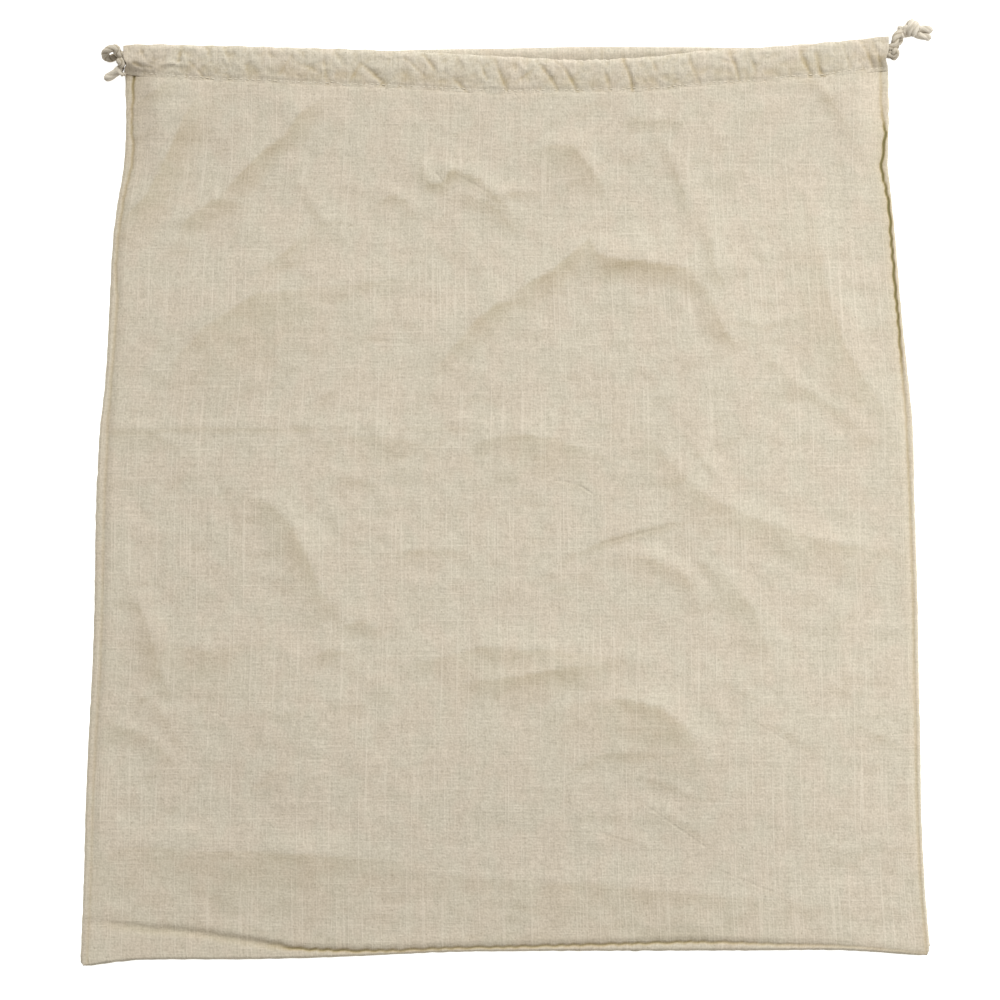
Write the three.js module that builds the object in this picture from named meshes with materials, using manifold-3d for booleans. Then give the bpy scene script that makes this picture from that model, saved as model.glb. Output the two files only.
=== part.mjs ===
// A drawstring bag of plain cotton cloth, empty and lying on its back.
// Millimetres. X runs across the bag, +Y towards its mouth, and Z up from the surface it lies on.
// The origin is on the underside of the back panel, in the middle of the bag.

import * as THREE from 'three';
import { mergeVertices } from 'three/addons/utils/BufferGeometryUtils.js';
import Module from 'manifold-3d';

const wasm = await Module();
wasm.setup();

// Driving dimensions
const BAG_LENGTH = 548; // from the bottom line to the highest point of the mouth
const BOTTOM_WIDTH = 511; // across the bottom corners
const MOUTH_WIDTH = 458; // across the gathered mouth
const BOTTOM_SAG = 10.5; // how far the left corner hangs past the bottom line
const MOUTH_DIP = 14; // how far the front of the mouth dips in the middle
const CLOTH = 1; // one layer of cloth, with its nap
const GAP = 0.3; // between pieces that lie against each other
const LOFT = 10; // clear height between the two panels
const EDGE_ROLL = 34; // how far from a seam the front panel reaches its full height
const FOLD_HEIGHT = 4; // the tallest fold of the front panel
const FOLD_WIDTH = 30; // the softest side of a fold
const SEAM_WIDTH = 5.4;
const SEAM_THICKNESS = 3;
const CORD_DIAMETER = 3.2;
const CORD_CLEARANCE = 0.4; // around each cord inside its casing
const CASING_SLACK = 11.5; // depth of a casing past what its two cords need
const MOUTH_GAPE = 4.7; // clear height between the two casings in the middle of the mouth
const GATHER_HEIGHT = 1.4; // from the valley to the crest of a gather
const GATHER_REACH = 40; // how far down the front panel the gathers fade
const GATHER_SCALLOP = 0.5; // how far a gather moves the casing's top edge
const KNOT_WIDTH = 9;
const KNOT_HEIGHT = 7.6;
const TAIL_LENGTH = 9;

// How finely the cloth is divided
const COLUMNS = 30; // cells across
const ROWS = 28; // cells from the bottom to the mouth
const CORD_SIDES = 8;
const CORD_RUN_STEPS = COLUMNS / 2; // along one casing

// Side edges: how far each stands out from the mouth's width, as a share of the widening to the bottom.
// along: 0 at the bottom line, 1 at the mouth.
const SIDE_EDGES = [
  { along: -0.02, left: 1.0, right: 1.0 },
  { along: 0.07, left: 0.92, right: 0.84 },
  { along: 0.16, left: 0.87, right: 0.76 },
  { along: 0.23, left: 0.81, right: 0.74 },
  { along: 0.31, left: 0.72, right: 0.7 },
  { along: 0.38, left: 0.675, right: 0.68 },
  { along: 0.49, left: 0.64, right: 0.61 },
  { along: 0.58, left: 0.54, right: 0.56 },
  { along: 0.62, left: 0.43, right: 0.48 },
  { along: 0.7, left: 0.34, right: 0.31 },
  { along: 0.77, left: 0.27, right: 0.19 },
  { along: 0.81, left: 0.18, right: 0.12 },
  { along: 0.86, left: 0.0, right: 0.0 },
  { along: 0.91, left: -0.04, right: 0.03 },
  { along: 1.0, left: 0.0, right: 0.0 },
];

// Bottom edge: how far it hangs past the bottom line, as a share of BOTTOM_SAG.
// across: -1 at the left corner, 1 at the right corner.
const BOTTOM_EDGE = [
  { across: -1, sag: 1.0 },
  { across: -0.93, sag: 0.72 },
  { across: -0.87, sag: 0.55 },
  { across: -0.58, sag: 0.51 },
  { across: -0.35, sag: 0.34 },
  { across: -0.16, sag: 0.12 },
  { across: 0.0, sag: 0.06 },
  { across: 0.6, sag: 0.01 },
  { across: 0.8, sag: 0.0 },
  { across: 0.92, sag: 0.2 },
  { across: 1, sag: 0.36 },
];

// Mouth: how far each casing's top edge dips, as a share of MOUTH_DIP, how much of CASING_SLACK the
// casing has, and how much of MOUTH_GAPE the mouth stands open.
const MOUTH = [
  { across: -1, front: 0.43, back: 0.43, slack: 0.5, gape: 0 },
  { across: -0.93, front: 0.39, back: 0.39, slack: 0.75, gape: 0.02 },
  { across: -0.78, front: 0.45, back: 0.45, slack: 0.9, gape: 0.25 },
  { across: -0.62, front: 0.52, back: 0.52, slack: 0.95, gape: 0.72 },
  { across: -0.46, front: 0.61, back: 0.6, slack: 1.0, gape: 1 },
  { across: -0.32, front: 0.67, back: 0.62, slack: 1.03, gape: 1 },
  { across: -0.2, front: 0.76, back: 0.57, slack: 1.05, gape: 1 },
  { across: 0, front: 0.89, back: 0.56, slack: 1.05, gape: 1 },
  { across: 0.2, front: 1.0, back: 0.52, slack: 0.85, gape: 1 },
  { across: 0.38, front: 0.87, back: 0.52, slack: 0.95, gape: 1 },
  { across: 0.51, front: 0.65, back: 0.5, slack: 0.95, gape: 0.95 },
  { across: 0.66, front: 0.52, back: 0.5, slack: 0.92, gape: 0.6 },
  { across: 0.8, front: 0.37, back: 0.36, slack: 0.84, gape: 0.2 },
  { across: 0.93, front: 0.16, back: 0.16, slack: 0.82, gape: 0.02 },
  { across: 1, front: 0.03, back: 0.03, slack: 0.8, gape: 0 },
];

// Folds of the front panel: each runs straight from one point to another, places given as across and
// along, rises by a share of FOLD_HEIGHT, and falls away over shares of FOLD_WIDTH: soft on the right
// of its run and sharp on the left.
const FOLDS = [
  { fromX: 0.49, fromY: 0.78, toX: 0.2, toY: 0.785, rise: 1.0, soft: 1.6, sharp: 0.45 },
  { fromX: 0.21, fromY: 0.79, toX: -0.02, toY: 0.72, rise: 0.9, soft: 1.6, sharp: 0.5 },
  { fromX: -0.02, fromY: 0.71, toX: -0.16, toY: 0.65, rise: 0.55, soft: 1.2, sharp: 0.6 },
  { fromX: 0.44, fromY: 0.93, toX: 0.5, toY: 0.7, rise: 0.8, soft: 1.0, sharp: 0.5 },
  { fromX: -0.03, fromY: 0.8, toX: -0.2, toY: 0.87, rise: 0.6, soft: 1.2, sharp: 0.5 },
  { fromX: -0.27, fromY: 0.83, toX: -0.47, toY: 0.82, rise: 0.5, soft: 1.2, sharp: 0.5 },
  { fromX: -0.49, fromY: 0.91, toX: -0.7, toY: 0.8, rise: 0.5, soft: 1.3, sharp: 0.7 },
  { fromX: -0.4, fromY: 0.77, toX: -0.75, toY: 0.66, rise: 0.5, soft: 1.5, sharp: 0.7 },
  { fromX: 0.33, fromY: 0.59, toX: 0.6, toY: 0.47, rise: 0.6, soft: 0.7, sharp: 1.0 },
  { fromX: 0.6, fromY: 0.47, toX: 0.9, toY: 0.45, rise: 0.6, soft: 0.8, sharp: 0.9 },
  { fromX: 0.5, fromY: 0.5, toX: 0.64, toY: 0.28, rise: 0.5, soft: 0.7, sharp: 0.9 },
  { fromX: 0.45, fromY: 0.48, toX: 0.2, toY: 0.45, rise: 0.6, soft: 0.9, sharp: 0.5 },
  { fromX: 0.3, fromY: 0.3, toX: 0.52, toY: 0.19, rise: 0.55, soft: 0.7, sharp: 1.0 },
  { fromX: 0.25, fromY: 0.35, toX: -0.2, toY: 0.35, rise: 0.6, soft: 1.2, sharp: 0.7 },
  { fromX: -0.68, fromY: 0.53, toX: -0.45, toY: 0.38, rise: 0.55, soft: 0.9, sharp: 0.9 },
  { fromX: 0.76, fromY: 0.8, toX: 0.9, toY: 0.63, rise: 0.5, soft: 0.7, sharp: 0.7 },
  { fromX: 0.04, fromY: 0.57, toX: -0.2, toY: 0.56, rise: 0.5, soft: 1.2, sharp: 0.8 },
  { fromX: -0.5, fromY: 0.14, toX: -0.8, toY: 0.22, rise: 0.5, soft: 1.2, sharp: 0.9 },
];

const CLOTH_COLOUR = '#d8ccb4';
const CASING_COLOUR = '#d5c8ae';
const SEAM_COLOUR = '#c9b894';
const CORD_COLOUR = '#ddd3bd';

// Sizes that follow from them
const LANE = CORD_DIAMETER + CORD_CLEARANCE; // from one cord's centre to the next
const CORD_ROOM = 2 * LANE + CORD_CLEARANCE; // clear width that holds two cords side by side
const CAVITY_HEIGHT = CORD_DIAMETER + 2 * CORD_CLEARANCE;
const CASING_THICKNESS = CAVITY_HEIGHT + 2 * CLOTH;
const LIP = 2 * CLOTH; // a casing's stitched edge, two layers thick
const PANEL_TOP = CLOTH + LOFT; // underside of the front panel, between its folds
const RIM = SEAM_WIDTH + GAP; // where a panel ends, in from the bag's edge

const WEDGE_CUT = 0.5; // how far the hollow of a casing starts from its stitches, of the way to its cords

const { clamp, lerp, smoothstep } = THREE.MathUtils;

// The value of one column of a table at a place between its rows, on a smooth curve through them.
function read(table, place, at, column) {
  const last = table.length - 1;
  const next = table.findIndex((row) => row[place] >= at);
  const k = next < 0 ? last : Math.max(next, 1);
  const rows = [Math.max(k - 2, 0), k - 1, k, Math.min(k + 1, last)].map((index) => table[index]);
  const span = rows[2][place] - rows[1][place];
  const t = clamp((at - rows[1][place]) / span, 0, 1);
  const slope = (a, b) => ((b[column] - a[column]) / (b[place] - a[place])) * span;
  const leave = slope(rows[0], rows[2]);
  const arrive = slope(rows[1], rows[3]);
  const [from, to] = [rows[1][column], rows[2][column]];
  const bend = 2 * (from - to) + leave + arrive;
  return from + t * (leave + t * (to - from - leave - bend + t * bend));
}

// Stations across the bag, and the height of a line at any place between them.
const STATIONS = Array.from({ length: COLUMNS + 1 }, (_, i) => (2 * i) / COLUMNS - 1);

function lineThrough(value) {
  const heights = STATIONS.map(value);
  return (across) => {
    const place = ((clamp(across, -1, 1) + 1) * COLUMNS) / 2;
    const cell = Math.min(Math.floor(place), COLUMNS - 1);
    return lerp(heights[cell], heights[cell + 1], place - cell);
  };
}

// The bag's outline
function edgeX(side, y) {
  const along = y / BAG_LENGTH + 0.5;
  const share = read(SIDE_EDGES, 'along', along, side < 0 ? 'left' : 'right');
  return (side * lerp(MOUTH_WIDTH, BOTTOM_WIDTH, share)) / 2;
}

function acrossX(across, y) {
  return Math.abs(across) * edgeX(Math.sign(across) || 1, y);
}

const casingDepth = lineThrough(
  (across) => CORD_ROOM + 2 * CLOTH + CASING_SLACK * read(MOUTH, 'across', across, 'slack'),
);
const mouthTop = {
  front: lineThrough((across) => BAG_LENGTH / 2 - MOUTH_DIP * read(MOUTH, 'across', across, 'front')),
  back: lineThrough((across) => BAG_LENGTH / 2 - MOUTH_DIP * read(MOUTH, 'across', across, 'back')),
};
const stitchY = {
  front: (across) => mouthTop.front(across) - casingDepth(across),
  back: (across) => mouthTop.back(across) - casingDepth(across),
};
const bottomY = lineThrough(
  (across) => -BAG_LENGTH / 2 - BOTTOM_SAG * read(BOTTOM_EDGE, 'across', across, 'sag'),
);
const gape = lineThrough((across) => clamp(read(MOUTH, 'across', across, 'gape'), 0, 1));

// Heights at the mouth: the underside of the front casing, and of its stitched lip.
const frontCasingZ = (across) => CASING_THICKNESS + GAP + MOUTH_GAPE * gape(across);
const frontLipZ = (across) => lerp(LIP + GAP, frontCasingZ(0), gape(across));

// A panel's corner points, row by row from the bottom to its casing.
function panelPoint(side, column, row) {
  const reach = 1 - RIM / (MOUTH_WIDTH / 2);
  const across = clamp(STATIONS[column], -reach, reach);
  const crest = column % 2;
  const low = bottomY(across);
  const high = stitchY[side](across);
  const y = clamp(lerp(low, high, row / ROWS), low + RIM, high - GAP);
  const edge = Math.abs(edgeX(Math.sign(across), y)) - RIM;
  const x = clamp(across * Math.abs(edgeX(Math.sign(across), y)), -edge, edge);
  return { x, y, across, crest };
}

// How much a fold lifts the cloth at a place.
function foldLift(fold, x, y) {
  const from = new THREE.Vector2((fold.fromX * BOTTOM_WIDTH) / 2, (fold.fromY - 0.5) * BAG_LENGTH);
  const to = new THREE.Vector2((fold.toX * BOTTOM_WIDTH) / 2, (fold.toY - 0.5) * BAG_LENGTH);
  const run = to.clone().sub(from);
  const length = run.length();
  const offset = new THREE.Vector2(x, y).sub(from);
  const along = offset.dot(run) / length;
  const beside = run.cross(offset) / length;
  const reach = FOLD_WIDTH * (beside > 0 ? fold.sharp : fold.soft);
  const past = Math.max(-along, along - length, 0);
  return fold.rise * Math.exp(-((beside / reach) ** 2) - (past / (FOLD_WIDTH * fold.soft)) ** 2);
}

// The underside of the front panel.
function frontHeight({ x, y, across, crest }) {
  const side = Math.sign(x) || 1;
  const fromSide = Math.abs(edgeX(side, y)) - RIM - Math.abs(x);
  const fromBottom = y - bottomY(across) - RIM;
  const fromMouth = stitchY.front(across) - GAP - y;
  const roll = Math.sqrt(smoothstep(fromSide, 0, EDGE_ROLL) * smoothstep(fromBottom, 0, EDGE_ROLL));
  const lift = Math.max(...FOLDS.map((fold) => foldLift(fold, x, y)), 0);
  const belly = PANEL_TOP + FOLD_HEIGHT * lift;
  const lip = frontLipZ(across) + CLOTH;
  const faded = fromMouth / GATHER_REACH;
  const gather = crest * GATHER_HEIGHT * 4 * Math.max(faded * (1 - faded), 0);
  const inside = smoothstep(fromMouth, 0, EDGE_ROLL);
  const open = lerp(lip, belly, inside) + gather;
  const rim = lerp(lip, CLOTH + GAP, inside);
  return lerp(rim, open, roll);
}

// A closed body from rows of points: each row is a ring of as many points as the next.
function skin(rings) {
  const count = rings[0].length;
  const positions = rings.flat().flatMap((point) => [point.x, point.y, point.z]);
  const indices = [];
  for (let row = 0; row < rings.length - 1; row += 1) {
    for (let i = 0; i < count; i += 1) {
      const a = row * count + i;
      const b = row * count + ((i + 1) % count);
      indices.push(a, b, a + count, b, b + count, a + count);
    }
  }
  const end = (rings.length - 1) * count;
  for (let i = 1; i < count - 1; i += 1) {
    indices.push(0, i + 1, i, end, end + i, end + i + 1);
  }
  return indexed(positions, indices);
}

// The same with a hollow: the end faces are bands between the outer and the inner ring.
function hollowSkin(outer, inner) {
  const count = outer[0].length;
  const offset = outer.length * count;
  const positions = [...outer.flat(), ...inner.flat()].flatMap((point) => [point.x, point.y, point.z]);
  const indices = [];
  const quad = (a, b, c, d) => indices.push(a, b, d, b, c, d);
  for (let row = 0; row < outer.length - 1; row += 1) {
    for (let i = 0; i < count; i += 1) {
      const a = row * count + i;
      const b = row * count + ((i + 1) % count);
      quad(a, b, b + count, a + count);
      quad(offset + b, offset + a, offset + a + count, offset + b + count);
    }
  }
  const end = (outer.length - 1) * count;
  for (let i = 0; i < count; i += 1) {
    const next = (i + 1) % count;
    quad(next, i, offset + i, offset + next);
    quad(end + i, end + next, offset + end + next, offset + end + i);
  }
  return indexed(positions, indices);
}

function indexed(positions, indices) {
  const geometry = new THREE.BufferGeometry();
  geometry.setAttribute('position', new THREE.Float32BufferAttribute(positions, 3));
  geometry.setIndex(indices);
  geometry.computeVertexNormals();
  return geometry;
}

// Manifold-3d joins closed meshes whose shared vertices are merged.
function solid(geometry) {
  const bare = geometry.clone();
  bare.deleteAttribute('normal');
  bare.deleteAttribute('uv');
  const merged = mergeVertices(bare, 1e-4);
  return new wasm.Manifold(
    new wasm.Mesh({
      numProp: 3,
      vertProperties: new Float32Array(merged.getAttribute('position').array),
      triVerts: new Uint32Array(merged.getIndex().array),
    }),
  );
}

function joined(geometries) {
  const whole = geometries.map(solid).reduce((sum, next) => sum.add(next));
  const { vertProperties, triVerts } = whole.getMesh();
  return indexed(Array.from(vertProperties), Array.from(triVerts));
}

// The front panel: a sheet of cloth over its grid, as thick as CLOTH.
function frontPanel() {
  const rows = [];
  for (let row = 0; row <= ROWS; row += 1) {
    const low = [];
    const high = [];
    for (let column = 0; column <= COLUMNS; column += 1) {
      const point = panelPoint('front', column, row);
      const z = frontHeight(point);
      low.push(new THREE.Vector3(point.x, point.y, z));
      high.push(new THREE.Vector3(point.x, point.y, z + CLOTH));
    }
    rows.push([...high, ...low.reverse()]);
  }
  return stripSkin(rows, COLUMNS + 1);
}

// Like skin, with end faces that follow a curved sheet: point i of a ring faces point count - 1 - i.
function stripSkin(rings, half) {
  const geometry = skin(rings);
  const count = 2 * half;
  const caps = 6 * (count - 2);
  const indices = Array.from(geometry.getIndex().array).slice(0, -caps);
  const end = (rings.length - 1) * count;
  for (let i = 0; i < half - 1; i += 1) {
    const [a, b, c, d] = [i, i + 1, count - 2 - i, count - 1 - i];
    indices.push(b, a, d, b, d, c);
    indices.push(end + a, end + b, end + d, end + b, end + c, end + d);
  }
  geometry.setIndex(indices);
  geometry.computeVertexNormals();
  return geometry;
}

// The back panel: flat, so its outline is enough.
function backPanel() {
  const outline = [];
  for (let column = 0; column <= COLUMNS; column += 1) outline.push(panelPoint('back', column, 0));
  for (let row = 1; row <= ROWS; row += 1) outline.push(panelPoint('back', COLUMNS, row));
  for (let column = COLUMNS - 1; column >= 0; column -= 1) outline.push(panelPoint('back', column, ROWS));
  for (let row = ROWS - 1; row > 0; row -= 1) outline.push(panelPoint('back', 0, row));
  const shape = new THREE.Shape(outline.map(({ x, y }) => new THREE.Vector2(x, y)));
  return new THREE.ExtrudeGeometry(shape, { depth: CLOTH, bevelEnabled: false });
}

// A seam's section: inward from the bag's edge, and up. Its corners are rolled.
const SEAM_SECTION = [
  { inward: 0.1, up: 0.0 },
  { inward: 1.0, up: 0.0 },
  { inward: 1.0, up: 0.75 },
  { inward: 0.82, up: 1.0 },
  { inward: 0.2, up: 1.0 },
  { inward: 0.0, up: 0.6 },
];

function sideSeam(side) {
  const column = side < 0 ? 0 : COLUMNS;
  const rings = [];
  for (let row = 0; row <= ROWS; row += 1) {
    const { y } = panelPoint('front', column, row);
    const edge = edgeX(side, y);
    const ring = SEAM_SECTION.map(({ inward, up }) => {
      return new THREE.Vector3(edge - side * inward * SEAM_WIDTH, y, up * SEAM_THICKNESS);
    });
    rings.push(side < 0 ? ring.reverse() : ring);
  }
  return skin(rings);
}

function bottomSeam() {
  const rings = STATIONS.map((across) => {
    const edge = bottomY(across);
    const x = acrossX(across, edge) * Math.sign(across * edgeX(Math.sign(across) || 1, edge) || 1);
    return SEAM_SECTION.map(({ inward, up }) => {
      return new THREE.Vector3(x, edge + inward * SEAM_WIDTH, up * SEAM_THICKNESS);
    });
  });
  return skin(rings);
}

// A casing: a flattened tube across the mouth, with a stitched lip below the room for its cords.
// z: its underside, lipZ: the underside of its lip, ripple: how much its top is gathered.
function casing(side, z, lipZ, ripple) {
  const outer = [];
  const inner = [];
  const sections = COLUMNS * (ripple ? 2 : 1);
  for (let i = 0; i <= sections; i += 1) {
    const across = (2 * i) / sections - 1;
    const top = mouthTop[side](across);
    const depth = casingDepth(across);
    const low = top - depth;
    const x = mouthX(across);
    const crest = ripple * (i % 2) * (1 + 0.3 * Math.sin(i * 2.3));
    const [from, to] = cordRoom(depth);
    const base = z(across);
    const lip = lipZ(across);
    const middle = base + CASING_THICKNESS / 2;
    const point = (y, height) => new THREE.Vector3(x, y, height);
    outer.push([
      point(low, lip),
      point(low + from - CLOTH, base),
      point(low + to + CLOTH, base),
      point(top + crest * GATHER_SCALLOP, middle),
      point(low + to + CLOTH, base + CASING_THICKNESS + (crest * GATHER_HEIGHT) / 2),
      point(low + (from + to) / 2, base + CASING_THICKNESS + crest * GATHER_HEIGHT),
      point(low + from - CLOTH, base + CASING_THICKNESS + crest * GATHER_HEIGHT),
      point(low, lip + LIP + (crest * GATHER_HEIGHT) / 4),
    ]);
    const wedge = (from * WEDGE_CUT) / (from - CLOTH);
    const wedgeZ = lerp(lip + LIP / 2, base + CASING_THICKNESS / 2, wedge);
    inner.push([
      point(low + from * WEDGE_CUT, wedgeZ - CLOTH / 4),
      point(low + from, base + CLOTH),
      point(low + to, base + CLOTH),
      point(top - CLOTH, middle),
      point(low + to, base + CASING_THICKNESS - CLOTH + (crest * GATHER_HEIGHT) / 2),
      point(low + (from + to) / 2, base + CASING_THICKNESS - CLOTH + crest * GATHER_HEIGHT),
      point(low + from, base + CASING_THICKNESS - CLOTH + crest * GATHER_HEIGHT),
      point(low + from * WEDGE_CUT, wedgeZ + CLOTH / 4),
    ]);
  }
  return hollowSkin(outer, inner);
}

// Where the clear room for the cords starts and ends, up from the stitch line.
function cordRoom(depth) {
  const from = (depth - CORD_ROOM) * 0.55;
  return [from, from + CORD_ROOM];
}

function mouthX(across) {
  const y = BAG_LENGTH / 2;
  return Math.sign(across) * Math.abs(across * edgeX(Math.sign(across) || 1, y));
}

// A cord's place inside a casing. lane: 1 for the cord nearer the mouth, -1 for the other.
function inCasing(side, across, lane) {
  const depth = casingDepth(across);
  const [from, to] = cordRoom(depth);
  const y = stitchY[side](across) + (from + to + lane * LANE) / 2;
  const base = side === 'front' ? frontCasingZ(across) : 0;
  return new THREE.Vector3(mouthX(across), y, base + CASING_THICKNESS / 2);
}

// A cord's route, stepped evenly between its points, so that the straight runs take few steps.
class Route extends THREE.CatmullRomCurve3 {
  getPointAt(u, target) {
    return this.getPoint(u, target);
  }

  getTangentAt(u, target) {
    return this.getTangent(u, target);
  }
}

function cord(points) {
  const section = new THREE.Shape();
  for (let i = 0; i < CORD_SIDES; i += 1) {
    const angle = ((i + 0.5) * 2 * Math.PI) / CORD_SIDES;
    const x = (CORD_DIAMETER / 2) * Math.cos(angle);
    const y = (CORD_DIAMETER / 2) * Math.sin(angle);
    if (i === 0) section.moveTo(x, y);
    else section.lineTo(x, y);
  }
  section.closePath();
  return new THREE.ExtrudeGeometry(section, {
    steps: points.length - 1,
    bevelEnabled: false,
    extrudePath: new Route(points),
  });
}

// One drawstring: out of its knot, through the front casing, round the far end and back.
// side: 1 when it is knotted at the right. Its free points are listed as x past the casing's end,
// y from the mouth line, and z, from the knot to the front casing, around the bend, and to the knot.
const DRAWSTRINGS = {
  right: {
    side: 1,
    lane: 1,
    leave: [
      { out: 8.2, y: 3.6, z: 5.4 },
      { out: 4.8, y: -1.4, z: 7.8 },
    ],
    bend: [
      { out: 4.5, y: -7.6, z: 8.9 },
      { out: 9.3, y: -8.6, z: 8 },
      { out: 11.3, y: -11.2, z: 5.6 },
      { out: 9.3, y: -13.2, z: 3.2 },
      { out: 4.5, y: -12.2, z: 2.2 },
    ],
    back: [
      { out: 5.0, y: -3.6, z: 2.6 },
      { out: 8.2, y: 0.4, z: 2.4 },
    ],
  },
  left: {
    side: -1,
    lane: -1,
    leave: [
      { out: 4.6, y: -17.6, z: 7.2 },
      { out: 2.4, y: -15.6, z: 8.8 },
    ],
    bend: [
      { out: 3, y: -11, z: 8.7 },
      { out: 4.9, y: -11.4, z: 6 },
      { out: 3, y: -11.4, z: 3.4 },
    ],
    back: [{ out: 1.6, y: -16.2, z: 2.8 }],
  },
};

function drawstring({ side, lane, leave, bend, back }) {
  const free = (end) => ({ out, y, z }) => {
    return new THREE.Vector3(end * (MOUTH_WIDTH / 2 + out), BAG_LENGTH / 2 + y, z);
  };
  const run = (name, direction) => {
    return Array.from({ length: CORD_RUN_STEPS + 1 }, (_, i) => {
      return inCasing(name, direction * (1 - (2 * i) / CORD_RUN_STEPS), lane);
    });
  };
  return cord([
    ...leave.map(free(side)),
    ...run('front', side),
    ...bend.map(free(-side)),
    ...run('back', -side),
    ...back.map(free(side)),
  ]);
}

// A knot: a lump of turns with its tails. Places as in DRAWSTRINGS.
const KNOTS = {
  right: {
    side: 1,
    body: { out: 13.4, y: 3.8, width: 1, height: 1 },
    tails: [
      { fromOut: 15.5, fromY: 4.4, toY: 3.8, reach: 1 },
      { fromOut: 14.5, fromY: 1.2, toY: -2.2, reach: 1 },
    ],
  },
  left: {
    side: -1,
    body: { out: 4.6, y: -19.6, width: 0.72, height: 0.8 },
    tails: [{ fromOut: 5, fromY: -21, toY: -25.6, reach: 0.75 }],
  },
};

function knot({ side, body, tails }) {
  const lump = new THREE.SphereGeometry(1, 14, 10);
  const turn = new THREE.Vector3();
  const places = lump.getAttribute('position');
  for (let i = 0; i < places.count; i += 1) {
    turn.fromBufferAttribute(places, i);
    const groove = 1 - 0.08 * Math.cos(3 * Math.atan2(turn.y, turn.x) + 4 * turn.z) * (1 - turn.z ** 2);
    places.setXYZ(i, turn.x * groove, turn.y * groove, turn.z * groove);
  }
  const height = KNOT_HEIGHT * body.height;
  lump.scale((KNOT_WIDTH * body.width) / 2, (KNOT_WIDTH * body.width) / 2, height / 2);
  const place = (out, y, z) => new THREE.Vector3(side * (MOUTH_WIDTH / 2 + out), BAG_LENGTH / 2 + y, z);
  const centre = place(body.out, body.y, height / 2);
  lump.translate(centre.x, centre.y, centre.z);
  const ends = tails.map(({ fromOut, fromY, toY, reach }) => {
    const from = place(fromOut, fromY, CORD_DIAMETER / 2);
    const to = place(fromOut + TAIL_LENGTH * reach, toY, CORD_DIAMETER / 2);
    const run = to.clone().sub(from);
    const tail = new THREE.CapsuleGeometry(CORD_DIAMETER / 2, run.length(), 2, CORD_SIDES);
    const turned = new THREE.Quaternion().setFromUnitVectors(
      new THREE.Vector3(0, 1, 0),
      run.clone().normalize(),
    );
    tail.applyQuaternion(turned);
    tail.translate((from.x + to.x) / 2, (from.y + to.y) / 2, CORD_DIAMETER / 2);
    return tail;
  });
  return joined([lump, ...ends]);
}

// The assembly
const bag = new THREE.Group();

function add(name, geometry, color, roughness) {
  const material = new THREE.MeshStandardMaterial({ color, roughness, metalness: 0 });
  const mesh = new THREE.Mesh(geometry, material);
  mesh.name = name;
  bag.add(mesh);
}

add('back_panel', backPanel(), CLOTH_COLOUR, 0.95);
add('front_panel', frontPanel(), CLOTH_COLOUR, 0.95);
add('left_seam', sideSeam(-1), SEAM_COLOUR, 0.95);
add('right_seam', sideSeam(1), SEAM_COLOUR, 0.95);
add('bottom_seam', bottomSeam(), SEAM_COLOUR, 0.95);
add('back_casing', casing('back', () => 0, () => 0, 0), CASING_COLOUR, 0.95);
add('front_casing', casing('front', frontCasingZ, frontLipZ, 1), CASING_COLOUR, 0.95);
for (const name of ['right', 'left']) {
  add(`${name}_drawstring`, drawstring(DRAWSTRINGS[name]), CORD_COLOUR, 0.85);
  add(`${name}_knot`, knot(KNOTS[name]), CORD_COLOUR, 0.85);
}

export default bag;
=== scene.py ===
import math
from collections import namedtuple
from functools import lru_cache

import bmesh
import bpy
import numpy as np
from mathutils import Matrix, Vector


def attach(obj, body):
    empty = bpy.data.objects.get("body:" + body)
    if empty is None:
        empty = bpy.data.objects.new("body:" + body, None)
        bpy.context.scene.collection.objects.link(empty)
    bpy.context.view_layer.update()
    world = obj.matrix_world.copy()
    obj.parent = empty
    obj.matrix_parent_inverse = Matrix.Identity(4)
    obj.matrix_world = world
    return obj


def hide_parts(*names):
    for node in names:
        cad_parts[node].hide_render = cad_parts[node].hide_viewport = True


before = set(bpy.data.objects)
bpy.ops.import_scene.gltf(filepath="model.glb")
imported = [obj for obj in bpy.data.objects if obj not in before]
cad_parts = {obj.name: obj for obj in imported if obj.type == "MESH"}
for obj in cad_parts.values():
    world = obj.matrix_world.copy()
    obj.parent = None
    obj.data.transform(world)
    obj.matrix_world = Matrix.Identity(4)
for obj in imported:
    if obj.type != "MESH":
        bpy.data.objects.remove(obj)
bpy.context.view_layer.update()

bl_info = {
    "name": "Drawstring Cotton Bag",
    "version": (1, 0, 0),
    "blender": (4, 5, 0),
    "location": "3D View > Sidebar > Bag",
    "description": "Builds a flat drawstring bag of slub cotton cloth over its frame",
    "category": "Object",
}

# The photo's scale: metres of cloth in one of its pixels, and the pixel over the frame's origin.
PIXEL = 0.0006
ORIGIN_PIXEL = (506.0, 493.5)
MM = 0.001

CORD_DIAMETER = 0.0032
CORD_CLEARANCE = 0.0004
CORD_LANE = CORD_DIAMETER + CORD_CLEARANCE
CORD_ROOM = 2 * CORD_LANE + CORD_CLEARANCE
MOUTH_END = 0.229
MOUTH_LINE = 0.274
CLOTH_THICKNESS = 0.001
SEAM_WIDTH = 0.0054
# Half the widths of the cloth's flat cut and of the bottom edge, and a little less than that, where the
# cloth's cells reach it
HALF_CUT = 0.2555
HALF_BOTTOM = 0.255
CELLS_TO = 0.25

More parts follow.
